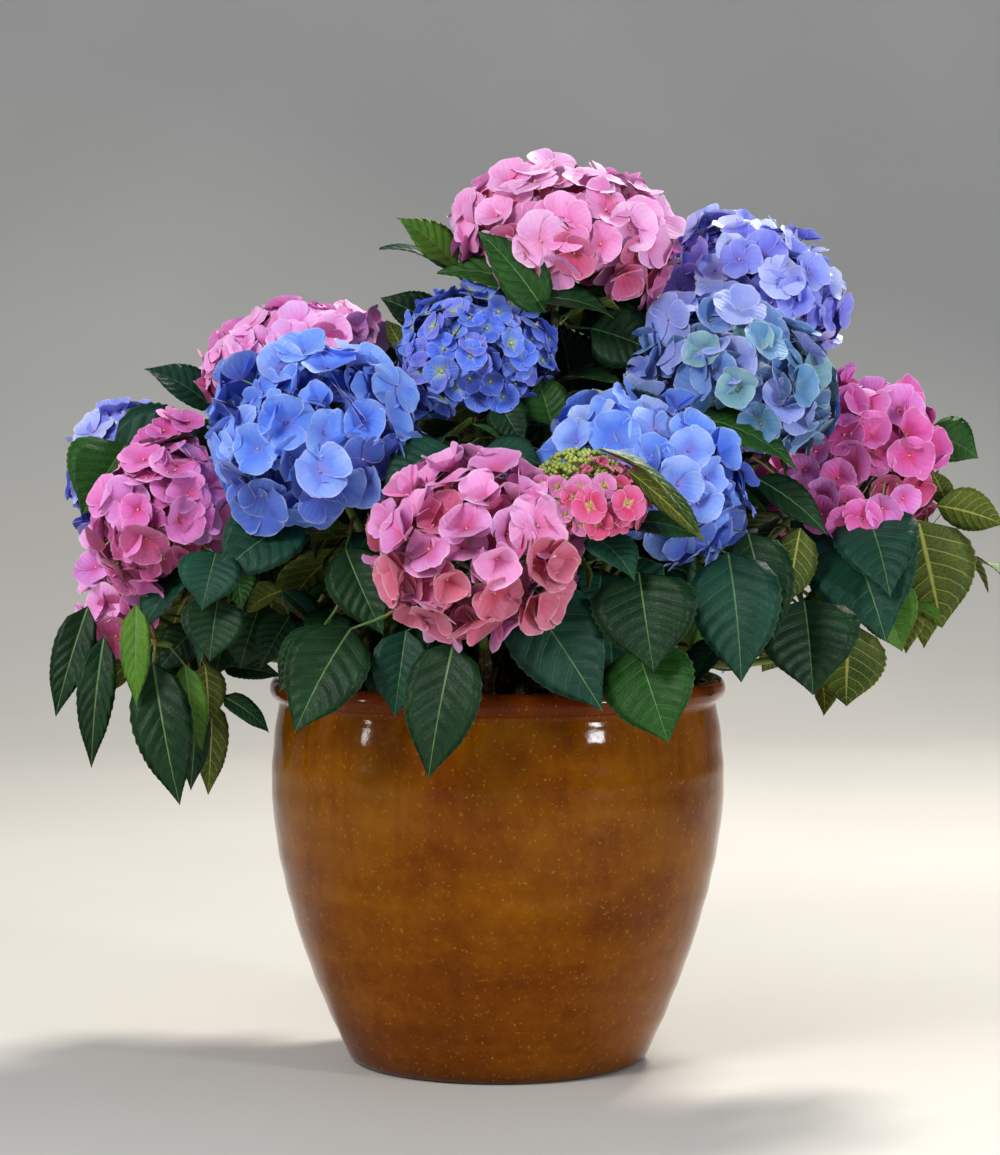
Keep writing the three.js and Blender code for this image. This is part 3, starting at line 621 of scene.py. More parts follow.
# Twigs: each leaves a limb at its own place and bearing, and keeps the leaves that find room.
TWIG_SEED = 31337
TWIG_SEED_STEP = 811
TWIG_SPACING = 22
FIRST_TWIG = 34
FIRST_TWIG_BARE = 8
TWIGLESS_FOOT = 12
TWIG_LENGTH = (26, 92)
TWIG_CLIMB = (-18, 44)
TWIG_BEND = 14
TWIG_SAG = 0.16
TWIG_TURN = 137.5
TWIG_PAIRS = 3
TWIG_LEAF_LENGTH = (52, 104)
TWIG_LEAF_CLEARANCE = -5
TWIG_TRIES = [[0, 1], [35, 0.85], [-35, 0.72], [65, 0.6]]
TWIG_RADIUS = 1.9
TWIG_SIDES = 5
TWIG_RINGS = 7
LOW_ROOT = 430
LOW_DROOP = 18
for number, (name, shoot) in enumerate(SHOOTS.items()):
    pick = chance(TWIG_SEED + TWIG_SEED_STEP * number)
    turn = pick(0, 360)
    start_down = FIRST_TWIG if "half" in shoot else FIRST_TWIG_BARE
    for index in range(int((shoot["length"] - start_down - TWIGLESS_FOOT) / TWIG_SPACING)):
        share = share_at(shoot, start_down + TWIG_SPACING * (index + pick(0.2, 0.8)))
        root = point_on(shoot["path"], share)
        bearing = turn + TWIG_TURN * index
        climb = pick(*TWIG_CLIMB)
        long = pick(*TWIG_LENGTH)
        start = root + heading(bearing, climb) * (stem_radius(shoot, share) * 0.6)
        end = start + heading(bearing, climb) * long
        twig = new_twig(name, start,
                        start + heading(bearing, climb + TWIG_BEND) * long * HANDLE_SHARE,
                        end - heading(bearing, climb - TWIG_BEND) * long * HANDLE_SHARE,
                        end - [0, 0, TWIG_SAG * long])
        places = point_on(twig["path"], np.linspace(0.25, 1, 7))
        if in_pot(places, 4) or in_heads(places, 2):
            continue
        label = f"{name} twig {index}"
        twig["shell"] = Shell(*tube(dict(path=twig["path"], side=0), 0.15, 1, 4, 4, 0, 0), label)
        if any(other.owner != name and shells_meet(twig["shell"], other) for other in shells):
            continue
        for pair in range(TWIG_PAIRS):
            for half in (0, 180):
                leaf_bearing = bearing + 90 * (pair + 1) + half + pick(-25, 25)
                if pair == 0:
                    leaf_bearing = bearing + (half - 90) * 0.55 + pick(-20, 20)
                droop = 8 + 16 * pair + pick(-14, 22) + LOW_DROOP * (root[2] < LOW_ROOT)
                roll = pick(-30, 30)
                size = pick(*TWIG_LEAF_LENGTH)
                place = 3 + pair * 0.36 * twig["length"]
                for swing, share in TWIG_TRIES:
                    leaf = [place, leaf_bearing + swing, droop, size * share, roll]
                    if in_the_open(rule_frame(twig, leaf)):
                        continue
                    if place_leaf(label, twig, leaf, CLOSE_GUARD, TWIG_LEAF_CLEARANCE):
                        break
        if twig["placed"]:
            shells.append(twig["shell"])
            twig["frames"] = [shell.frame for shell in twig["placed"]]
            twigs.append(twig)
print("leaves in all:", sum(len(limb["frames"]) for limb in [*SHOOTS.values(), *twigs]))


# Joined meshes
def repeat_faces(faces, points_each, count):
    """The same faces again for each of many shapes with so many points each."""
    return (faces + points_each * np.arange(count)[:, None, None]).reshape(-1, faces.shape[1])


class Heap:
    """Shapes joined into one mesh, quads before triangles. A face's kind is its material's number."""

    def __init__(self):
        self.points = []
        self.maps = []
        self.faces = {sides: [np.zeros((0, sides), int)] for sides in (4, 3)}
        self.kinds = {sides: [np.zeros(0, int)] for sides in (4, 3)}
        self.count = 0

    def add(self, points, *parts, kind=0, maps=None):
        """Adds a shape, whose faces come as parts of quads or of triangles."""
        for faces in parts:
            sides = faces.shape[1]
            self.faces[sides].append(faces + self.count)
            self.kinds[sides].append(np.broadcast_to(kind, len(faces)))
        self.points.append(points)
        self.maps.append(np.zeros((len(points), 2)) if maps is None else maps)
        self.count += len(points)

    def make(self, name, materials, slot_name, nodes=()):
        quads, triangles = (np.concatenate(self.faces[sides]) for sides in (4, 3))
        metres = np.concatenate(self.points) * 0.001
        mesh = bpy.data.meshes.new(name)
        mesh.from_pydata(metres.tolist(), [], quads.tolist() + triangles.tolist())
        kinds = np.concatenate(self.kinds[4] + self.kinds[3])
        mesh.polygons.foreach_set("material_index", kinds.astype(np.int32))
        maps = np.concatenate(self.maps)[np.append(quads, triangles)]
        mesh.uv_layers.new(name="part").data.foreach_set("uv", maps.astype(np.float32).ravel())
        mesh.validate()
        mesh.shade_smooth()
        for material in materials:
            mesh.materials.append(material)
        piece = bpy.data.objects.new(name, mesh)
        bpy.context.scene.collection.objects.link(piece)
        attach(piece, "root")
        if nodes:
            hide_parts(*nodes)
        print(f"{name}: {2 * len(quads) + len(triangles)} triangles")
        return piece


# Materials
def colour(code):
    """A colour given as red, green and blue in hexadecimal, turned into linear light."""
    parts = [int(code[i:i + 2], 16) / 255 for i in (1, 3, 5)]
    return tuple(c / 12.92 if c <= 0.04045 else ((c + 0.055) / 1.055) ** 2.4 for c in parts) + (1.0,)


class Look:
    """A material. Its methods add a node and give its output. A colour may be given by its code."""

    def __init__(self, name):
        self.material = bpy.data.materials.new(name)
        self.material.use_nodes = True
        self.tree = self.material.node_tree
        self.place = self.node("TexCoord", "Object")

    def plug(self, node, inputs):
        for key, value in dict(inputs).items():
            if isinstance(value, bpy.types.NodeSocket):
                self.tree.links.new(value, node.inputs[key])
            else:
                node.inputs[key].default_value = colour(value) if isinstance(value, str) else value

    def node(self, kind, output, inputs=(), **settings):
        node = self.tree.nodes.new("ShaderNode" + kind)
        for key, value in settings.items():
            setattr(node, key, value)
        self.plug(node, inputs)
        return node.outputs[output]

    def shade(self, inputs):
        """Sets the shader's own sockets, and gives the material."""
        self.plug(self.tree.nodes["Principled BSDF"], inputs)
        return self.material

    def noise(self, scale, detail=3.0, roughness=0.5, height_scale=None):
        """Noise over the object's own space, with heights scaled where asked."""
        vector = self.place
        if height_scale is not None:
            scales = (1.0, 1.0, height_scale)
            vector = self.node("Mapping", "Vector", {"Vector": vector, "Scale": scales})
        return self.node("TexNoise", "Fac", {
            "Vector": vector, "Scale": scale, "Detail": detail, "Roughness": roughness,
        })

    def ramp(self, value, *stops):
        output = self.node("ValToRGB", "Color", {"Fac": value})
        ends = output.node.color_ramp.elements
        while len(ends) < len(stops):
            ends.new(0.5)
        for end, (place, code) in zip(ends, stops):
            end.position = place
            end.color = colour(code)
        return output

    def span(self, value, low, high, to_low=0.0, to_high=1.0):
        return self.node("MapRange", "Result", {
            "Value": value, "From Min": low, "From Max": high, "To Min": to_low, "To Max": to_high,
        })

    def maths(self, operation, *values):
        return self.node("Math", "Value", enumerate(values), operation=operation)

    def times(self, first, second):
        return self.maths("MULTIPLY", first, second)

    def mix(self, share, first, second):
        return self.node("Mix", 2, {0: share, 6: first, 7: second}, data_type="RGBA")

    def bump(self, height, distance, strength, **under):
        return self.node("Bump", "Normal", {
            "Height": height, "Distance": distance, "Strength": strength, **under,
        })

    def part(self):
        """The place on one leaf or petal: how far aside from its middle, across it and along it."""
        across = self.node("SeparateXYZ", "X", {"Vector": self.node("UVMap", "UV", uv_map="part")})
        return self.maths("ABSOLUTE", across), across, across.node.outputs["Y"]


def leaf_material(name, deep, light, rib, roughness, vein_share, net_share=0.1):
    """A leaf: side veins along the rows of its mesh, a fine net between them, pale rib and rim."""
    look = Look(name)
    aside, _, along = look.part()
    tone = look.ramp(look.noise(24.0, 4.0), (0.3, deep), (0.7, light))
    wave = look.maths("FRACT", look.maths("ADD", along, 0.5))
    away = look.maths("ABSOLUTE", look.maths("SUBTRACT", wave, 0.5))
    veins = look.times(look.span(away, 0.0, 0.06, 1.0, 0.0), look.span(aside, 0.6, 1.0, 1.0, 0.2))
    veined = look.mix(look.times(veins, vein_share), tone, rib)
    cells = look.node("TexVoronoi", "Distance", {"Vector": look.place, "Scale": 230.0},
                      feature="DISTANCE_TO_EDGE")
    netted = look.mix(look.span(cells, 0.0, 0.09, net_share, 0.0), veined, rib)
    pale = look.maths("MAXIMUM", look.span(aside, 0.95, 1.0, 0.0, 0.5),
                      look.span(aside, 0.025, 0.055, 0.9, 0.0))
    net_relief = look.bump(look.span(cells, 0.0, 0.25), 0.0004, 0.3)
    return look.shade({
        "Base Color": look.mix(pale, netted, rib),
        "Roughness": look.span(look.noise(420.0, 2.0), 0.3, 0.7, roughness - 0.06, roughness + 0.08),
        "Specular IOR Level": 0.22,
        "Normal": look.bump(look.maths("SUBTRACT", 1.0, veins), 0.0008, 0.45, Normal=net_relief),
    })


def plain_material(name, deep, light, scale, roughness, relief=0.0006, bump_scale=300.0):
    look = Look(name)
    return look.shade({
        "Base Color": look.ramp(look.noise(scale), (0.32, deep), (0.68, light)),
        "Roughness": roughness,
        "Normal": look.bump(look.noise(bump_scale), relief, 0.6),
    })


def paler(code, share):
    return tuple(part + (1 - part) * share for part in colour(code))


def petal_material(name, base, edge, heart, heart_reach=0.34, line_share=0.16):
    """Petals: veined, paler outward, with a thin pale rim painted as light on the edge, and a heart
    of another tint, partly its own colour and partly painted shade.
    """
    look = Look(name)
    aside, across, along = look.part()
    outward = look.maths("ADD", look.span(along, 0.15, 1.0),
                         look.span(look.noise(45.0), 0.3, 0.7, -0.4, 0.35))
    fan = look.maths("SINE", look.times(across, 19.0))
    lined = look.mix(look.span(fan, 0.5, 1.0, 0.0, line_share), look.mix(outward, base, edge), heart)
    # Partly painted shade: the heart tint is the floret's own eye colour, made deeper in the pinks to
    # warm the shade where the petals meet.
    hearted = look.mix(look.span(along, 0.04, heart_reach, 0.85, 0.0), lined, heart)
    # Painted light: a thin pale rim along the outline, as light caught on the petal's edge.
    rim = look.maths("MAXIMUM", look.span(along, 0.9, 1.0, 0.0, 0.55),
                     look.span(aside, 0.86, 1.0, 0.0, 0.55))
    crease = look.bump(look.noise(200.0), 0.0007, 0.35)
    return look.shade({
        "Base Color": look.mix(rim, hearted, paler(edge, 0.45)),
        "Roughness": 0.6,
        "Specular IOR Level": 0.25,
        "Sheen Weight": 0.2,
        "Sheen Roughness": 0.5,
        "Normal": look.bump(fan, 0.0003, 0.3, Normal=crease),
    })


LEAF_MATERIALS = [
    leaf_material("leaf_dark", "#08230f", "#123819", "#3e6b38", 0.47, 0.22),
    leaf_material("leaf_blue_green", "#0d3226", "#174836", "#4a7a58", 0.5, 0.24),
    leaf_material("leaf_green", "#143c12", "#225419", "#688f42", 0.48, 0.26),
    # The young tone also serves as painted backlight, on leaves lit through from behind.
    leaf_material("leaf_young_and_backlit", "#34601a", "#528024", "#9db45a", 0.5, 0.3),
    leaf_material("leaf_underside", "#35481a", "#566420", "#b4b45a", 0.6, 0.85, 0.15),
    plain_material("leaf_rib", "#4c743a", "#64884a", 40.0, 0.5),
]
DARK, BLUE_GREEN, GREEN, YOUNG_AND_BACKLIT, UNDER_KIND, RIB_KIND = range(6)

# Leaf meshes: rows follow the side veins, so that a vein is a row and the blade swells between.
LEAF_LINES = 32
ROWS_PER_VEIN = 4
TOP_COLUMNS = np.array([-1, -0.72, -0.4, -0.05, 0, 0.05, 0.4, 0.72, 1])
UNDER_COLUMNS = np.array([-0.72, -0.4, 0, 0.4, 0.72])
LEAF_HALF_WIDTH = 0.34
RIB_HALF_WIDTH = 0.0068
VEIN_SWEEP = 0.29
BLADE_THICKNESS = 0.5
QUILT = 0.0115
STALK_RINGS = 4
STALK_SIDES = 6
# How leaves differ: fold, curl, twist, ripple and its phase, sideways bend, breadth, teeth
LEAF_RANGES = [(0.06, 0.32), (0.02, 0.26), (-0.45, 0.45), (0.006, 0.02), (0, 6.28), (-0.05, 0.05),
               (0.95, 1.1), (0.8, 1.3)]

# One leaf's points are the top's, row by row, then the underside's, which shares the top's rim, and
# then the stalk's.
top = numbered(LEAF_LINES + 1, len(TOP_COLUMNS))
under = numbered(LEAF_LINES + 1, len(UNDER_COLUMNS), top.size)
STALK_START = top.size + under.size
LEAF_POINTS = STALK_START + STALK_RINGS * STALK_SIDES
under = grid_quads(np.hstack([top[:, :1], under, top[:, -1:]]))[:, [0, 3, 2, 1]]
stalk = ring_quads(STALK_RINGS, STALK_SIDES, STALK_START)
LEAF_QUADS = np.concatenate([grid_quads(top), under, stalk])
LEAF_KINDS = np.concatenate([
    np.tile([0, 0, 0, RIB_KIND, RIB_KIND, 0, 0, 0], LEAF_LINES),
    np.repeat([UNDER_KIND, RIB_KIND], [len(under), len(stalk)]),
])


def leaf_width(s):
    body = LEAF_HALF_WIDTH * np.sin(np.pi * s ** 0.74) ** 0.78
    return np.maximum(body * (1 - 0.5 * np.clip((s - 0.7) / 0.3, 0, 1) ** 1.5), 0.004)


def leaf_points(frames, rng):
    """All the leaves of a piece at once: points and their places on the leaf."""
    count = len(frames)
    root, base, along, side, up = (
        np.array([frame[key] for frame in frames])[:, None, None]
        for key in ("root", "base", "along", "side", "up")
    )
    length = np.array([frame["length"] for frame in frames])[:, None, None]
    fold, curl, twist, ripple, phase, bend, broad, tooth = (
        rng.uniform(low, high, count)[:, None, None] for low, high in LEAF_RANGES
    )
    broad = broad * np.array([frame.get("broad", 1.0) for frame in frames])[:, None, None]
    line = np.arange(LEAF_LINES + 1)[:, None]
    start = line / LEAF_LINES
    arch = np.clip(np.sin(np.pi * start), 0, 1)

    def surface(t, lower):
        aside = np.abs(t)
        middle = aside == 0
        s = start + VEIN_SWEEP * aside ** 1.2 * 2.2 * start ** 0.5 * (1 - start)
        edge = (aside == 1) & (line % 2 == 1)
        s = np.clip(s + edge * 0.4 / LEAF_LINES * arch, 0, 1)
        width = leaf_width(s) * broad * (1 + edge * 0.042 * tooth)
        rib = np.minimum(RIB_HALF_WIDTH * (1.25 - s), 0.4 * width)
        lateral = np.where((aside > 0) & (aside < 0.1), np.sign(t) * rib, t * width) * length
        lift = LEAF_ARCH * s * (1 - s) - curl * np.clip(s - 0.55, 0, 1) ** 2
        lift = lift + fold * width * aside ** 1.25
        lift = lift + ripple * np.sin(9 * s + phase + 2.1 * np.sign(t)) * t ** 2
        swell = np.clip(aside * (1.02 - aside) * 4, 0, 1) ** 0.5
        lift = lift - QUILT * np.cos(2 * np.pi * line / ROWS_PER_VEIN) * swell * arch ** 0.5
        if lower:
            lift = lift * length - BLADE_THICKNESS - middle * 0.011 * (1.1 - s) * length
        else:
            lift = (lift - middle * 0.005 * (1 - s)) * length
        turn = twist * (s - 0.3)
        points = base + along * (s * length)[..., None]
        points = points + side * (lateral * np.cos(turn) + bend * s * s * length)[..., None]
        points = points + up * (lift + lateral * np.sin(turn))[..., None]
        maps = np.stack(np.broadcast_arrays(t, line / ROWS_PER_VEIN), -1)
        return points.reshape(count, -1, 3), maps.reshape(-1, 2)

    top, top_map = surface(TOP_COLUMNS, False)
    under, under_map = surface(UNDER_COLUMNS, True)
    shares = np.linspace(0, 1, STALK_RINGS)[:, None, None]
    scale = length[..., None]
    middles = root + (base - root) * shares - up * np.sin(np.pi * shares) * 0.03 * scale
    middles = middles + along * (shares == 1) * 0.02 * scale
    angle = turns(STALK_SIDES)[:, None]
    radius = (0.0085 + 0.009 * (1 - shares)) * scale + 0.35
    stalk = middles + (side * np.cos(angle) + up * np.sin(angle)) * radius
    points = np.concatenate([top, under, stalk.reshape(count, -1, 3)], 1)
    maps = np.concatenate([top_map, under_map, np.zeros((STALK_RINGS * STALK_SIDES, 2))])
    return points.reshape(-1, 3), np.tile(maps, (count, 1))


def leaf_tone(frame, draw):
    """Dark inside and below, which is painted shade; blue-green outside; the young yellow-green tone
    for some steeply hanging leaves, and for some at the right as painted backlight.
    """
    x, y, z = frame["root"]
    if "tone" in frame:
        return frame["tone"]
    # Painted light: some leaves at the right take the young yellow-green tone, as if lit through from
    # behind.
    if x > 290 and draw < 0.45 or frame["along"][2] < -0.96 and draw < 0.3:
        return YOUNG_AND_BACKLIT
    # Painted shade: leaves outside are mostly blue-green or green, and those inside and below are
    # mostly dark.
    if math.hypot(x, y) + 0.5 * (z - 400) > 190:
        return BLUE_GREEN if draw < 0.45 else GREEN if draw < 0.7 else DARK
    return DARK if draw < 0.7 else BLUE_GREEN


def mass_of(shoot):
    """Which joined piece a shoot's leaves go to."""
    x, y, _ = shoot["at"]
    if y > 120:
        return "leaves_back"
    return "leaves_left" if x < -100 else "leaves_right" if x > 150 else "leaves_middle"


MASS_SEED = 4100
masses = {}
for name, shoot in SHOOTS.items():
    names, frames = masses.setdefault(mass_of(shoot), ([], []))
    names.append("leaves_" + name)
    for limb in [shoot] + [twig for twig in twigs if twig["owner"] == name]:
        frames += limb["frames"]
for number, (mass, (names, frames)) in enumerate(masses.items()):
    rng = np.random.default_rng(MASS_SEED + number)
    points, maps = leaf_points(frames, rng)
    tones = np.array([leaf_tone(frame, rng.uniform()) for frame in frames])
    heap = Heap()
    heap.add(points, repeat_faces(LEAF_QUADS, LEAF_POINTS, len(frames)), maps=maps,
             kind=np.where(LEAF_KINDS == 0, tones[:, None], LEAF_KINDS).ravel())
    heap.make(mass, LEAF_MATERIALS, "leaf", names)

# Stems and canes
look = Look("bark")
streaks = look.noise(380.0, 5.0, 0.65, 0.16)
tone = look.ramp(streaks, (0.3, "#2f2013"), (0.5, "#5c452b"), (0.72, "#8a7350"))
flecks = look.ramp(look.noise(170.0, 2.0), (0.62, "#000000"), (0.7, "#ffffff"))
BARK = look.shade({
    "Base Color": look.mix(flecks, tone, "#a08a66"),
    "Roughness": 0.85,
    "Normal": look.bump(streaks, 0.0016, 0.8),
})
CANE_SKIN = dict(sides=20, step=3.0, flare=FOOT_FLARE, rough=0.07)
STEM_SKIN = dict(sides=10, step=4.5, flare=0, rough=0.02)
SCAR_SPACING = 38
FIRST_SCAR = 14


def cone(ring, sides, point):
    """The triangles from a ring to one point."""
    j = np.arange(sides)
    return np.stack([ring + j, ring + (j + 1) % sides, np.full(sides, point)], -1)


def relief_tube(shoot, start, end, marks, sides, step, flare, rough):
    """A tube whose skin has ridges, and rings where leaves sit or once sat."""
    steps = max(4, int(shoot["length"] * (end - start) / step))
    shares = start + (end - start) * np.arange(steps + 1) / steps
    middles, x, y = ring_frames(shoot, shares, flare)
    distance = np.interp(shares, PATH_SHARES, shoot["lengths"])[:, None]
    radius = stem_radius(shoot, shares)[:, None]
    if flare:
        radius = radius * (1 + (flare - 1) * np.exp(-distance / 9))
    angle = turns(sides)
    ridge = 0.5 * np.sin(5 * angle + 1.7 * np.sin(distance / 23))
    ridge = ridge + 0.35 * np.sin(8 * angle - distance / 13 + 2 * np.sin(distance / 31))
    ridge = ridge + 0.3 * np.sin(3 * angle + distance / 4.7) * np.sin(distance / 9.1)
    radius = radius * (1 + rough * ridge)
    for mark in marks:
        radius = radius + 0.26 * radius * np.exp(-((distance - mark) / 2.6) ** 2)
    points = np.concatenate([rings(middles, x, y, radius, sides), middles[:1], middles[-1:]])
    foot = cone(0, sides, len(points) - 2)[:, [1, 0, 2]]
    top = cone(steps * sides, sides, len(points) - 1)
    return points, ring_quads(steps + 1, sides), np.concatenate([foot, top])


canes = Heap()
stems = Heap()
for name, shoot in SHOOTS.items():
    start = 0
    if "foot" in shoot:
        scars = np.arange(FIRST_SCAR, shoot["length"] * shoot["split"], SCAR_SPACING)
        canes.add(*relief_tube(shoot, 0, shoot["split"], scars, **CANE_SKIN))
        start = shoot["split"] + GAP / shoot["length"]
    marks = [shoot["length"] - shell.frame["down"] for shell in shoot["placed"]]
    stems.add(*relief_tube(shoot, start, 1, marks, **STEM_SKIN))
for twig in twigs:
    shares = np.linspace(0, 1, TWIG_RINGS)
    radius = (TWIG_RADIUS * (1.15 - 0.4 * shares))[:, None]
    stems.add(rings(*ring_frames(twig, shares, 0), radius, TWIG_SIDES),
              ring_quads(TWIG_RINGS, TWIG_SIDES), end_fans(TWIG_RINGS, TWIG_SIDES), kind=1)
canes.make("canes", [BARK], "bark", ["cane_" + n for n, s in SHOOTS.items() if "foot" in s])
stems.make("stems", [
    plain_material("stem_green", "#50702c", "#7d9646", 35.0, 0.5),
    plain_material("stem_flushed", "#6c5a2c", "#8f7a40", 35.0, 0.55),
], "leaf")

# Blossom: petals of a fine grid outside and of a coarse one behind them. A grid has its rows along
# the petal, half its width at each row, and its columns across.
FINE_PETAL = [np.array([0, 0.22, 0.45, 0.68, 0.87, 1]), np.array([0.2, 0.72, 1.0, 1.02, 0.85, 0.5]),
              np.array([-1, -0.62, -0.22, 0.22, 0.62, 1])]
COARSE_PETAL = [np.array([0, 0.35, 0.75, 1]), np.array([0.2, 0.9, 1.0, 0.5]),
                np.array([-1, -0.33, 0.33, 1])]
PETALS = 4
PETAL_HALF = 0.6
# How petals differ: bend, cup, wave and its phase, twist
PETAL_RANGES = [(0.0, 0.4), (-0.05, 0.42), (0, 0.05), (0, 6.28), (-0.16, 0.16)]
BEAD_FACES = np.array([
    [0, 1, 4], [1, 2, 4], [2, 3, 4], [3, 0, 4], [1, 0, 5], [2, 1, 5], [3, 2, 5], [0, 3, 5],
])
pedicels = Heap()
PEDICEL_SIDES = 4
PEDICEL_RINGS = 4


def cross_frames(normals, spins=0):
    """Two directions across each normal, turned by its spin."""
    helper = np.where(np.abs(normals[:, 2:3]) < 0.9, [[0.0, 0.0, 1.0]], [[1.0, 0.0, 0.0]])
    x = unit(np.cross(normals, helper))
    y = np.cross(normals, x)
    c, s = np.cos(spins), np.sin(spins)
    return x * c + y * s, y * c - x * s


def add_florets(heap, centres, normals, sizes, cups, kinds, rng, grid=FINE_PETAL):
    """Adds the four petals of each floret given, with their shapes varied."""
    rows, row_widths, t = grid
    count = len(centres)

    def vary(low, high):
        return rng.uniform(low, high, (count, PETALS, 1, 1))

    x, y = cross_frames(normals, rng.uniform(0, 2 * np.pi, (count, 1)))
    turn = turns(PETALS)[:, None] + rng.uniform(-0.12, 0.12, (count, PETALS, 1))
    out = x[:, None] * np.cos(turn) + y[:, None] * np.sin(turn)
    across = np.cross(normals[:, None], out)
    r = rows[:, None]
    length = sizes[:, None, None, None] * vary(0.88, 1.08)
    half = PETAL_HALF * length * vary(0.92, 1.1)
    rise = cups[:, None, None, None] + vary(-0.14, 0.14)
    bend, cup, wave, phase, twist = (vary(low, high) for low, high in PETAL_RANGES)
    lateral = half * row_widths[:, None] * t
    radial = length * np.cos(rise) * (r - 0.1 * t * t * r ** 3) + 0.8
    lift = length * (np.sin(rise) * r - bend * r * r)
    lift = lift + cup * lateral * lateral / length + twist * lateral * r
    lift = lift + wave * length * np.sin(3 * t + phase) * r
    lift = lift + 1.1 * (np.arange(PETALS) % 2)[:, None, None]
    points = centres[:, None, None, None] + out[:, :, None, None] * radial[..., None]
    points = points + across[:, :, None, None] * lateral[..., None]
    points = points + normals[:, None, None, None] * lift[..., None]
    quads = grid_quads(numbered(len(rows), len(t)))
    maps = np.stack(np.broadcast_arrays(t, r), -1).reshape(-1, 2)
    heap.add(points.reshape(-1, 3), repeat_faces(quads, len(maps), count * PETALS),
             kind=np.repeat(kinds, PETALS * len(quads)), maps=np.tile(maps, (count * PETALS, 1)))


def bead_points(centres, normals, sizes):
    x, y = cross_frames(normals)
    corners = np.stack([x, y, -x, -y, 1.1 * normals, -0.8 * normals], 1)
    return (centres[:, None] + corners * np.reshape(sizes, (-1, 1, 1))).reshape(-1, 3)


def add_beads(heap, centres, normals, sizes, kind):
    heap.add(bead_points(centres, normals, sizes), repeat_faces(BEAD_FACES, 6, len(centres)), kind=kind)


def add_stalks(starts, middles, ends, thick, thin):
    """Adds a thin curved stalk to each of the ends given."""
    count = len(ends)
    starts = np.broadcast_to(starts, ends.shape)
    shares = np.linspace(0, 1, PEDICEL_RINGS)[:, None]
    places = (1 - shares) ** 2 * starts[:, None] + 2 * shares * (1 - shares) * middles[:, None]
    places = places + shares ** 2 * ends[:, None]
    x, y = (np.repeat(part, PEDICEL_RINGS, 0) for part in cross_frames(unit(ends - starts)))
    radius = np.tile(thick + (thin - thick) * shares, (count, 1))
    quads = ring_quads(PEDICEL_RINGS, PEDICEL_SIDES)
    pedicels.add(rings(places.reshape(-1, 3), x, y, radius, PEDICEL_SIDES),
                 repeat_faces(quads, PEDICEL_RINGS * PEDICEL_SIDES, count))


def dome(count, depth):
    """Directions spread over a dome of some depth: each one's angle from the top and round it."""
    index = np.arange(count)
    return np.arccos(1 - (index + 0.5) / count * depth), np.radians(GOLDEN_ANGLE) * index


def on_head(shoot, polar, turn, inset):
    """Places on a head's surface, set in by so many millimetres, and the directions out of it."""
    axis = shoot["axis"]
    flat = unit(np.array([-axis[1], axis[0], 0]))
    basis = np.stack([flat, np.cross(axis, flat), axis])
    a, b = shoot["half"]
    ring = np.sin(polar)
    local = np.stack([ring * np.cos(turn), ring * np.sin(turn), np.cos(polar)], -1)
    normal = unit((local / [a, a, b]) @ basis)
    return shoot["at"] + (local * [a, a, b]) @ basis - normal * np.reshape(inset, (-1, 1)), normal


# How each head looks: petal length, how far petals stand up, its colour, how unevenly its florets
# stand out, the tints dealt to its florets, and the tint of those on its top, if another: a paler
# one, painted light where the sun falls on the top.
HEAD_LOOKS = {
    "pink_top": (25, 0.4, "pale_pink", 3, (0, 1, 2), 2),
    "violet_right_back": (22, 0.46, "violet", 4, (0, 1, 2), 4),
    "blue_right": (25, 0.5, "teal", 6, (0, 1, 0, 4, 1, 5), 5),
    "blue_centre": (16.5, 0.5, "deep_blue", 2.5, (0, 1, 2), 0),
    "blue_left": (27, 0.48, "sky_blue", 7, (0, 1, 2), 0),
    "pink_left_back": (21, 0.46, "pink", 3, (4, 5, 4), 4),
    "pink_left": (24, 0.4, "pink", 3, (0, 1, 2), 0),
    "violet_left": (21, 0.46, "violet", 3, (0, 1, 2), 0),
    "pink_front": (29, 0.66, "pale_pink", 4, (4, 5, 4, 0), 0),
    "blue_front_right": (25, 0.48, "sky_blue", 6, (0, 1, 2), 4),
    "pink_right": (25, 0.55, "strong_pink", 4, (0, 1, 2), 2),
    "blue_back": (25, 0.48, "sky_blue", 4, (0, 1, 2), 0),
    "pink_back": (25, 0.48, "pink", 4, (0, 1, 2), 0),
    "pink_right_back": (24, 0.5, "strong_pink", 4, (0, 1, 2), 0),
    "violet_back_left": (23, 0.48, "violet", 4, (0, 1, 2), 0),
    "pink_left_low": (21, 0.55, "pink", 3, (0, 4, 2), 4),
    "pink_back_low": (24, 0.48, "pale_pink", 4, (0, 1, 4), 0),
    "blue_back_low": (23, 0.48, "teal", 4, (0, 1, 2), 0),
}
# Florets that stand out of their head in the photo: picture place, depth and petal length.
STRAY_FLORETS = {
    "pink_left": [[164, 432, -94, 18], [178, 444, -98, 19], [187, 424, -90, 17],
                  [151, 446, -96, 18], [172, 420, -88, 16], [166, 456, -104, 18],
                  [214, 536, -100, 18]],
    "pink_left_low": [[101, 540, -84, 21], [97, 568, -80, 21], [118, 556, -92, 22],
                      [110, 527, -92, 20], [106, 603, -84, 21]],
    "pink_right": [[806, 470, -30, 19], [798, 494, -34, 20], [822, 514, -44, 20],
                   [838, 478, -32, 20], [846, 502, -38, 20], [826, 494, -40, 20],
                   [862, 518, -66, 20], [816, 452, -24, 19], [882, 508, -64, 20],
                   [845, 522, -62, 19], [902, 498, -50, 19]],
    "blue_right": [[646, 372, -70, 17], [660, 398, -84, 18]],
}
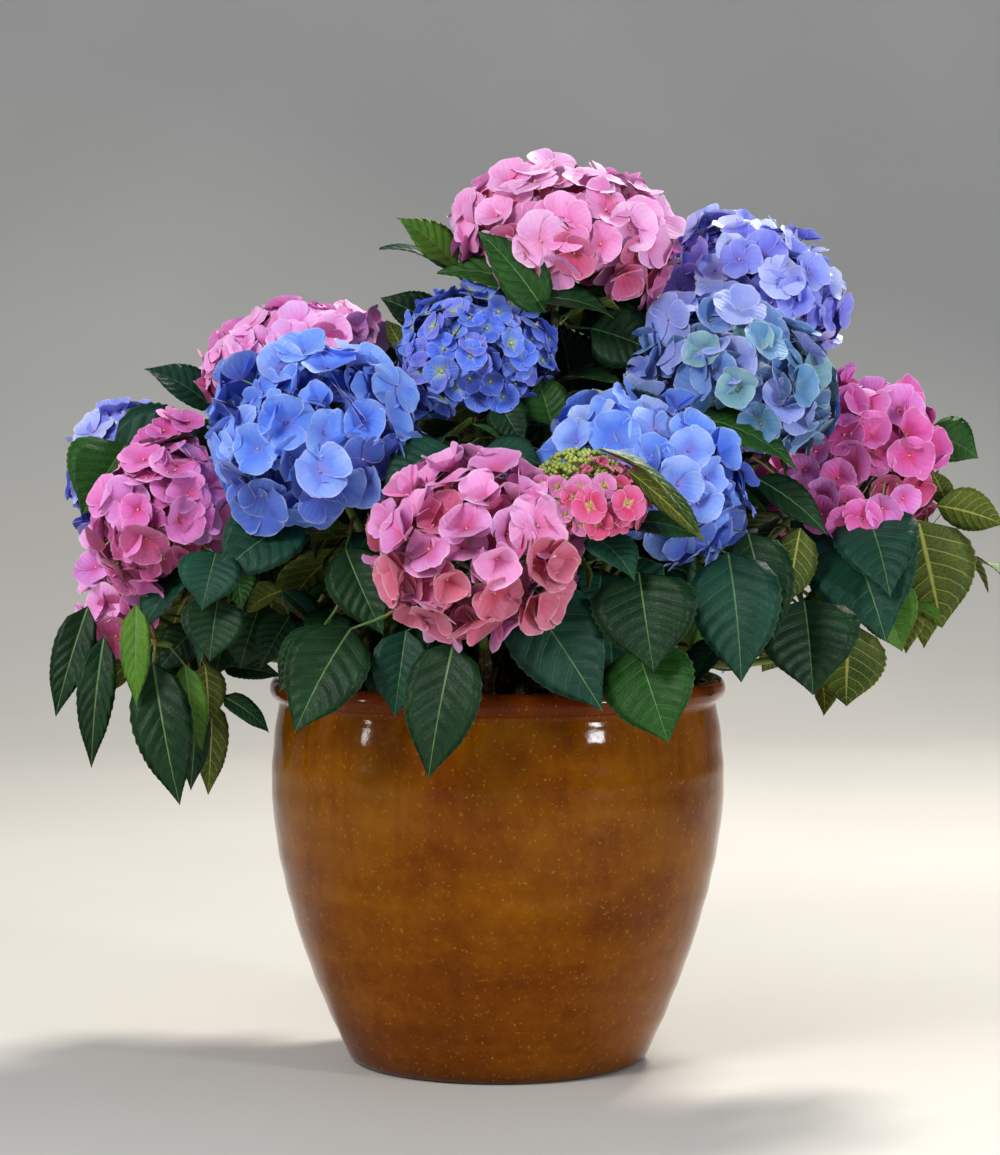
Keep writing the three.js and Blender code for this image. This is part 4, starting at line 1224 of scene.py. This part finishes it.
# Tints of each flower colour: petal, edge, heart. The fourth is painted shade, for florets facing
# down and for most inner florets.
TINTS = {
    "pale_pink": [("#ec8fce", "#f6b4e8", "#e2649e"), ("#e480c2", "#f0a2dc", "#da5a8c"),
                  ("#ee9edb", "#f8c4f0", "#e684b4"), ("#c44a7c", "#d8749f", "#ce5464"),
                  ("#d06cb0", "#e49cda", "#cc5078"), ("#c4506e", "#d67c9a", "#b8404c")],
    "pink": [("#dc66b8", "#eb92da", "#dc4c86"), ("#d45aae", "#e684d2", "#d24078"),
             ("#d276cc", "#e4a0e4", "#d45a9c"), ("#b43c78", "#cc62a0", "#c04a64"),
             ("#ee96dc", "#f8bcf0", "#e66cac"), ("#e684cc", "#f2aae4", "#de5c9c")],
    "strong_pink": [("#dc56aa", "#ea86d0", "#e0507e"), ("#d2489c", "#e274c2", "#d84470"),
                    ("#d66cc4", "#e896de", "#dc5c94"), ("#b02c64", "#cc4e86", "#c83c58")],
    "sky_blue": [("#5688f2", "#8ab0fc", "#7e8ee6"), ("#4a7aec", "#7aa2f8", "#6f7cd8"),
                 ("#6a90f2", "#9cb8fc", "#8c88dc"), ("#3654b8", "#5a7ad6", "#5c5cb4"),
                 ("#8cacf6", "#c0d2fe", "#9aa4ec")],
    "deep_blue": [("#4870f0", "#7c9cfa", "#b9d08a"), ("#4064e6", "#7090f6", "#8fb0e0"),
                  ("#5c62e2", "#868cf2", "#b0cc84"), ("#2c44b4", "#4a64d0", "#6c84bc")],
    "teal": [("#447cb2", "#74a2d0", "#84aab8"), ("#4a74c2", "#7a9eda", "#869cc6"),
             ("#6072ca", "#8a98e2", "#8f94d2"), ("#345488", "#5476a6", "#5a7e94"),
             ("#5c8ea4", "#8cb4c2", "#8cac9c"), ("#7688da", "#a2aeee", "#989cdc")],
    "violet": [("#7884f0", "#a4b0fa", "#8a80d8"), ("#6e76e8", "#98a2f6", "#7c70cc"),
               ("#a0acf6", "#ccd6fe", "#a8a4ea"), ("#4e4cb4", "#6c70d0", "#6860ac"),
               ("#c4ccfa", "#e4ecff", "#b4b4f0")],
}
BEAD_TINTS = {
    "pale_pink": ("#e8a0b8", "#f4c8d0"), "pink": ("#e090b0", "#f0c0d0"),
    "strong_pink": ("#d87098", "#f0b0c4"), "sky_blue": ("#6878c8", "#b8c4ec"),
    "deep_blue": ("#a8b868", "#d0d890"), "teal": ("#7890b0", "#b8ccd8"),
    "violet": ("#8078c8", "#c4c0ec"),
}
# Millimetres by which one side of a head stands inside its solid, as the photo shows it.
SUNK = {"pink_left_back": [0, 0, 19], "violet_left": [-17, 0, 0], "pink_left": [-10, 0, 0]}
SHADED = 3
HEAD_SEED = 7700
HEAD_SEED_STEP = 13
FLORET_SPACING = 1.28
FLORET_PACKING = 0.87
BEAD = 1.7
LARGE_BEAD = 2.3
BEAD_RISE = 1.6
INNER_DEPTH = 0.2
INNER_COUNT = 0.8
HEAD_POLAR = 124
TILT = 0.17
HUBS = 9


def pulled_in(name, centres, normals):
    if name not in SUNK:
        return centres
    sunk = np.array(SUNK[name], float)
    return centres - sunk * np.clip(normals @ unit(sunk), 0, 1)[:, None]


def depth_of(degrees):
    return 1 - math.cos(math.radians(degrees))


def head_area(a, b):
    """Near enough the surface of a whole head."""
    p = 1.6
    return 4 * np.pi * ((a ** (2 * p) + 2 * (a * b) ** p) / 3) ** (1 / p)


def grow_head(heap, name, number):
    shoot = SHOOTS[name]
    length, stand, flower, loose, dealt, lit_top_kind = HEAD_LOOKS[name]
    rng = np.random.default_rng(HEAD_SEED + HEAD_SEED_STEP * number)
    a, b = shoot["half"]
    covered = head_area(a, b) * depth_of(HEAD_POLAR) / 2
    count = int(covered / (FLORET_PACKING * (FLORET_SPACING * length) ** 2))
    polar, turn = dome(count, depth_of(HEAD_POLAR))
    polar = polar + rng.normal(0, 0.05, count)
    turn = turn + rng.normal(0, 0.09, count)
    reach = length * math.sin(stand) * 0.62
    inset = reach + rng.uniform(-1, 1, count) * loose + rng.choice([-2.0, 2.5], count)
    centres, normals = on_head(shoot, polar, turn, inset)
    centres = pulled_in(name, centres, normals)
    tilted = unit(normals + rng.normal(0, TILT + 0.022 * loose, (count, 3)))
    sizes = length * rng.uniform(0.84, 1.1, count)
    cups = np.clip(rng.normal(stand, 0.12 + 0.02 * loose, count), 0.08, 1.15)
    kinds = rng.choice(dealt, count)
    # Painted light: most florets facing up take the head's top tint, which is paler where it differs.
    kinds = np.where((tilted[:, 2] > 0.72) & (rng.uniform(size=count) < 0.7), lit_top_kind, kinds)
    # Painted shade: florets facing down mostly take the shaded tint, and on pink_front its darker
    # salmon tint.
    low_limit, shaded_kind = (0.1, 5) if name == "pink_front" else (-0.25, SHADED)
    kinds = np.where((tilted[:, 2] < low_limit) & (rng.uniform(size=count) < 0.65), shaded_kind, kinds)
    if name in STRAY_FLORETS:
        strays = np.array(STRAY_FLORETS[name], float)
        places = np.array([seen_place(*row) for row in strays[:, :3]])
        outward = (places - shoot["at"]) / a + [0, -1.3, 0.2] + rng.normal(0, 0.25, places.shape)
        centres = np.concatenate([centres, places])
        tilted = np.concatenate([tilted, unit(outward)])
        sizes = np.append(sizes, strays[:, 3])
        cups = np.append(cups, np.full(len(strays), stand))
        kinds = np.append(kinds, rng.choice(dealt, len(strays)))
    add_florets(heap, centres, tilted, sizes, cups, kinds, rng)
    bead = LARGE_BEAD if name == "blue_centre" else BEAD
    add_beads(heap, centres + tilted * BEAD_RISE, tilted, bead, len(TINTS[flower]))
    inner = int(count * INNER_COUNT)
    polar, turn = dome(inner, depth_of(HEAD_POLAR - 8))
    deep = reach + INNER_DEPTH * b + rng.uniform(-2, 4, inner)
    behind, normals = on_head(shoot, polar, turn + 1.3, deep)
    behind = pulled_in(name, behind, normals)
    normals = unit(normals + rng.normal(0, 0.3, (inner, 3)))
    sizes = length * rng.uniform(0.85, 1.05, inner)
    cups = np.clip(rng.normal(stand, 0.2, inner), 0.05, 1.0)
    # Painted shade: most inner florets take the shaded tint.
    kinds = np.where(rng.uniform(size=inner) < 0.6, SHADED, 1)
    add_florets(heap, behind, normals, sizes, cups, kinds, rng, COARSE_PETAL)
    stem_end = shoot["path"][3]
    hubs, _ = on_head(shoot, np.linspace(0.25, 1.9, HUBS), dome(HUBS, 1)[1], 0.55 * b)
    add_stalks(stem_end, (stem_end + hubs) / 2 + shoot["axis"] * 4, hubs, 2.2, 1.5)
    near = hubs[((hubs - centres[:, None]) ** 2).sum(-1).argmin(1)]
    add_stalks(near, (near + centres) / 2 - tilted * 5, centres, 1.1, 0.8)


florets = {}
for number, (name, (_, _, flower, *_)) in enumerate(HEAD_LOOKS.items()):
    heap, names = florets.setdefault(flower, (Heap(), []))
    grow_head(heap, name, number)
    names.append("bloom_" + name)
for flower, (heap, names) in florets.items():
    materials = []
    for number, tints in enumerate(TINTS[flower], 1):
        reach = 0.5 if flower == "deep_blue" and number != 2 else 0.36
        materials.append(petal_material(f"petal_{flower}_{number}", *tints, reach))
    materials.append(plain_material(f"bead_{flower}", *BEAD_TINTS[flower], 60.0, 0.5))
    heap.make(f"blossom_{flower}", materials, f"blossom_{flower}", names)

# The young head: a flat dome, in green bud at its upper left and opening toward its lower right.
# Its front florets are given by picture place, depth, petal length and tint.
YOUNG = SHOOTS["bud_front"]
YOUNG_SEED = 909
YOUNG_BEAD_RISE = 1.8
YOUNG_SPOTS = 76
YOUNG_DEPTH = 1.02
OPENING = unit(np.array([0.62, -0.15, -0.78]))
OPEN_FROM = -0.2
CLUSTER = 7
CLUSTER_RADIUS = 4.2
CORE_BEADS = 160
CORE_DEPTH = 1.1
GREEN_BUD, PINK_BUD = 2, 3
YOUNG_LARGE = [
    [590, 506, -278, 15.5, 0], [627, 503, -270, 17, 0], [597, 522, -272, 15, 1],
    [562, 506, -262, 13, 1], [558, 487, -262, 10, 4], [580, 488, -272, 11.5, 4],
    [604, 486, -268, 11.5, 4], [573, 497, -274, 12, 0], [543, 484, -252, 9, 4],
    [618, 487, -262, 11, 1],
]
rng = np.random.default_rng(YOUNG_SEED)
young = Heap()
spots, normals = on_head(YOUNG, *dome(YOUNG_SPOTS, YOUNG_DEPTH), rng.uniform(-1, 3, YOUNG_SPOTS))
openness = (spots - YOUNG["at"]) @ OPENING / 30 + rng.normal(0, 0.14, YOUNG_SPOTS)
opened = openness >= OPEN_FROM
for spot, normal, share in zip(spots[~opened], normals[~opened], openness[~opened]):
    x, y = cross_frames(normal[None], rng.uniform(0, 6, 1))
    places = rings(spot[None], x, y, np.array([[CLUSTER_RADIUS]]), CLUSTER - 1)
    places = np.concatenate([places, [spot]]) + normal * rng.uniform(-1, 1.4, CLUSTER)[:, None]
    tint = PINK_BUD if share > -0.6 and rng.uniform() < 0.3 else GREEN_BUD
    add_beads(young, places, np.tile(normal, (CLUSTER, 1)), rng.uniform(2.2, 3.1, CLUSTER), tint)
centres, outward = spots[opened], normals[opened]
count = len(centres)
sizes = 7.5 + 4.5 * np.clip((openness[opened] - OPEN_FROM) / 1.3, 0, 1) + rng.uniform(-1, 1, count)
cups = rng.uniform(0.4, 0.9, count)
add_florets(young, centres, outward, sizes, cups, rng.choice([0, 1, 4], count), rng, COARSE_PETAL)
add_beads(young, centres + outward * YOUNG_BEAD_RISE, outward, 1.8, GREEN_BUD)
large = np.array([seen_place(*row[:3]) for row in YOUNG_LARGE])
outward = unit((large - YOUNG["at"]) * [0.6, 1, 0.4] + [0, -30, 4])
sizes, tints = np.array(YOUNG_LARGE)[:, 3:].T
add_florets(young, large, outward, sizes, rng.uniform(0.35, 0.6, len(large)), tints, rng)
add_beads(young, large + outward * YOUNG_BEAD_RISE, outward, LARGE_BEAD, GREEN_BUD)
core, outward = on_head(YOUNG, *dome(CORE_BEADS, CORE_DEPTH), rng.uniform(6, 11, CORE_BEADS))
tints = np.where((core - YOUNG["at"]) @ OPENING < -4, GREEN_BUD, PINK_BUD)
add_beads(young, core, outward, rng.uniform(3.4, 4.8, CORE_BEADS), np.repeat(tints, len(BEAD_FACES)))
young.make("blossom_young", [
    petal_material("petal_young_1", "#d0326e", "#de6ca6", "#e8c890", 0.24, 0.05),
    petal_material("petal_young_2", "#c02a60", "#d65686", "#d8b078", 0.24, 0.05),
    plain_material("bud_green", "#93a83a", "#c2cc6a", 60.0, 0.5),
    plain_material("bud_pink", "#b44c6c", "#d87c94", 60.0, 0.5),
    petal_material("petal_young_3", "#d468b0", "#e494cc", "#d8c078", 0.34, 0.06),
], "blossom_young", ["bloom_bud_front"])
stem_end = YOUNG["path"][3]
ends = np.concatenate([spots[::2], large])
add_stalks(stem_end, (stem_end + ends) / 2, ends, 1.2, 0.9)
pedicels.make("pedicels", [plain_material("pedicel", "#7d9a58", "#a8b884", 60.0, 0.55)], "leaf")

# Pot
POT_SIDES = 168
INNER_CORNER = POT_FLOOR + 12


def inner_radius(z):
    return min(float(pot_radius(z)), POT_NECK_RADIUS) - WALL - (z - 300) * 0.03 * (z > 300)


def spun(outline, sides, wobble):
    """A lathe form. The throwing rings and slow waves are in its shape, so reflections bend."""
    r, z = np.array(outline, float).T[:, :, None]
    angle = turns(sides)
    wave = 0.34 * np.sin(z / 5.3 + 0.7 * np.sin(angle)) * np.sin(z / 37)
    wave = wave + 0.3 * np.sin(2 * angle + z / 61) + 0.22 * np.sin(3 * angle - z / 47 + 1)
    wave = wave + 0.16 * np.sin(7 * angle + z / 23) * np.sin(z / 19 + 3 * np.sin(angle))
    r = r + wobble * wave * ((z > 6) & (z < 330) & (r > 100))
    points = np.stack([r * np.cos(angle), r * np.sin(angle), z + 0 * angle], -1)
    points = np.concatenate([points[0, :1], points[1:-1].reshape(-1, 3), points[-1, -1:]])
    foot = cone(1, sides, 0)[:, [1, 0, 2]]
    top = cone(len(points) - 1 - sides, sides, len(points) - 1)
    return points, ring_quads(len(outline) - 2, sides, 1), np.concatenate([foot, top])


# The outline goes from the middle of the underside, round the lip, to the middle of the floor
outline = [[0, 0], [60, 0], [POT_BASE_RADIUS - 9, 0], [POT_BASE_RADIUS - 5, 0.3],
           [POT_BASE_RADIUS - 1.4, 2.2]]
outline += [[float(pot_radius(z)), z] for z in [5, *np.linspace(9, 326, 64)]]
outline += [[202.6, 330], [202.2, 334], [203.2, 337]]
lip_middle = (LIP_RADIUS + RIM_INNER_RADIUS) / 2 + 2.5
outline += [[lip_middle + 8 * math.cos(angle), 346.5 + 10.4 * math.sin(angle)]
            for angle in np.radians(np.linspace(-62, 190, 22))]
outline += [[inner_radius(z) + 1.5 * (z > 334), z] for z in np.linspace(334, INNER_CORNER, 16)]
outline += [[inner_radius(INNER_CORNER) - 10, POT_FLOOR], [0, POT_FLOOR]]

look = Look("glaze")
height = look.node("SeparateXYZ", "Z", {"Vector": look.place})
bands = look.noise(4.0, 3.0, 0.5, 7.0)
clouds = look.noise(10.0, 5.0, 0.62)
mottle = look.noise(70.0, 4.0, 0.65)
runs = look.noise(42.0, 4.0, 0.6, 0.1)
soft = look.maths("ADD", look.times(bands, 0.3), look.times(clouds, 0.45))
tone = look.ramp(look.maths("ADD", soft, look.times(mottle, 0.25)),
                 (0.38, "#5e2b01"), (0.48, "#6f3802"), (0.56, "#7c4303"), (0.68, "#8c5305"))
specks = look.ramp(look.noise(300.0, 2.0), (0.64, "#000000"), (0.72, "#ffffff"))
# Golden above and in the clouds, darker in runs of glaze, on the lip and at the foot, with specks
for share, code in (
    (look.times(look.span(height, 0.1, 0.28, 0.0, 0.5), look.span(clouds, 0.35, 0.65)), "#7f5304"),
    (look.times(look.span(runs, 0.5, 0.72, 0.0, 0.5), look.span(height, 0.12, 0.3, 0.15)), "#572401"),
    (look.span(height, 0.33, 0.34, 0.0, 0.85), "#642504"),
    (look.span(height, 0.025, 0.0, 0.0, 0.7), "#3c1c04"),
    (look.times(specks, 0.35), "#b98a3a"),
):
    tone = look.mix(share, tone, code)
ripple = look.bump(look.noise(30.0, 2.0), 0.002, 0.3)
GLAZE = look.shade({
    "Base Color": tone,
    "Roughness": look.span(clouds, 0.3, 0.7, 0.06, 0.12),
    "Specular IOR Level": 0.11,
    "Normal": look.bump(mottle, 0.0006, 0.25, Normal=ripple),
})
pot = Heap()
pot.add(*spun(outline, POT_SIDES, 1.0))
pot.make("glazed_pot", [GLAZE], "pot_glaze", ["pot"])

# Potting mix: an uneven surface with crumbs of bark on it
SOIL_SEED = 515
SOIL_RINGS = 34
SOIL_SIDES = 96
SOIL_UNDERSIDE = 318
CRUMBS = 1500
rng = np.random.default_rng(SOIL_SEED)
edge = inner_radius(SOIL_TOP) - 1.2
outline = [[0, SOIL_UNDERSIDE], [edge - 4, SOIL_UNDERSIDE]]
outline += [[edge * (1 - k / SOIL_RINGS) ** 0.8, SOIL_TOP] for k in range(SOIL_RINGS)] + [[0, SOIL_TOP]]
points, quads, triangles = spun(outline, SOIL_SIDES, 0)
x, y, z = points.T
lumps = 1.5 * np.sin(x / 17 + 2 * np.sin(y / 23)) * np.sin(y / 15)
lumps = lumps + 0.9 * np.sin(x / 6.1) * np.sin(y / 5.3)
points[:, 2] += np.where(z > SOIL_UNDERSIDE, lumps + rng.normal(0, 0.5, len(x)), 0)
soil = Heap()
soil.add(points, quads, triangles)
radius = edge * 0.97 * np.sqrt(rng.uniform(0, 1, CRUMBS))
angle = rng.uniform(0, 2 * np.pi, CRUMBS)
places = np.stack([radius * np.cos(angle), radius * np.sin(angle),
                   SOIL_TOP + rng.uniform(-0.5, 1.6, CRUMBS)], -1)
normals = unit(rng.normal(0, 1, (CRUMBS, 3)))
crumbs = bead_points(places, normals, rng.gamma(3.0, 0.85, CRUMBS).clip(1.0, 6.0))
crumbs = crumbs + rng.normal(0, 0.5, crumbs.shape)
soil.add(crumbs, repeat_faces(BEAD_FACES, 6, CRUMBS),
         kind=np.repeat(rng.choice([0, 1, 2], CRUMBS, p=[0.45, 0.49, 0.06]), len(BEAD_FACES)))
soil_piece = soil.make("potting_mix", [
    plain_material("mix_dark", "#1d130c", "#35241a", 90.0, 0.95, 0.003, 220.0),
    plain_material("mix_bark", "#33200f", "#5a3d22", 120.0, 0.9, 0.002, 260.0),
    plain_material("mix_pale", "#8d7f68", "#b3a78e", 120.0, 0.9, 0.002, 260.0),
], "potting_mix", ["soil"])
soil_piece.data.shade_flat()

# Camera, floor and light, in metres
scene = bpy.context.scene
camera_data = bpy.data.cameras.new("camera")
camera_data.sensor_width = 36.0
camera_data.lens = FOCAL_POINTS * camera_data.sensor_width / PICTURE_HEIGHT
camera_data.clip_end = 100.0
scene.camera = bpy.data.objects.new("camera", camera_data)
scene.camera.location = CAMERA_PLACE * 0.001
scene.camera.rotation_euler = (math.pi / 2 - CAMERA_DIP, 0, 0)
scene.collection.objects.link(scene.camera)

# The floor turns up into a plain wall far behind, so that no line shows between the two.
SWEEP_START = 3.0
SWEEP_RADIUS = 3.0
SWEEP_STEPS = 24
FLOOR_FRONT = -14.0
WALL_TOP = 14.0
FLOOR_SIDE = 20.0
line = [(FLOOR_FRONT, 0.0)]
for angle in np.radians(np.linspace(0, 90, SWEEP_STEPS)):
    line.append((SWEEP_START + SWEEP_RADIUS * math.sin(angle), SWEEP_RADIUS * (1 - math.cos(angle))))
line.append((SWEEP_START + SWEEP_RADIUS, WALL_TOP))
floor_points = [(x, y, z) for y, z in line for x in (-FLOOR_SIDE, FLOOR_SIDE)]
floor_mesh = bpy.data.meshes.new("floor")
floor_mesh.from_pydata(floor_points, [], grid_quads(numbered(len(line), 2)).tolist())
floor_mesh.shade_smooth()
floor_mesh.materials.append(plain_material("floor", "#cfccc6", "#dad7d1", 0.8, 0.6, 0.0005, 60.0))
floor = bpy.data.objects.new("floor", floor_mesh)
scene.collection.objects.link(floor)

scene.world = bpy.data.worlds.new("studio")
scene.world.use_nodes = True
sky = scene.world.node_tree.nodes["Background"].inputs
sky["Color"].default_value = (0.8, 0.89, 1.0, 1.0)
sky["Strength"].default_value = 0.32
scene.view_settings.view_transform = "Standard"

# Lights: where each is, the height it is aimed at, its width, height and power, and its tint
for name, place, aim, width, height, power, tint in (
    ("key", (-1.7, -2.5, 2.3), 0.5, 1.1, 1.1, 72, (1.0, 0.98, 0.95)),
    ("back_sun", (1.3, 1.9, 3.1), 0.6, 0.6, 0.6, 150, (1.0, 0.95, 0.86)),
    ("fill", (2.1, -1.75, 0.9), 0.35, 0.3, 0.26, 26, (0.93, 0.97, 1.0)),
    ("left_strip", (-2.45, -0.98, 0.8), 0.35, 0.1, 0.35, 6, (1.0, 1.0, 1.0)),
):
    data = bpy.data.lights.new(name, "AREA")
    data.shape = "RECTANGLE"
    data.size = width
    data.size_y = height
    data.energy = power
    data.color = tint
    lamp = bpy.data.objects.new(name, data)
    lamp.rotation_mode = "QUATERNION"
    lamp.rotation_quaternion = (Vector(place) - Vector((0, 0, aim))).to_track_quat("Z", "Y")
    lamp.location = place
    scene.collection.objects.link(lamp)
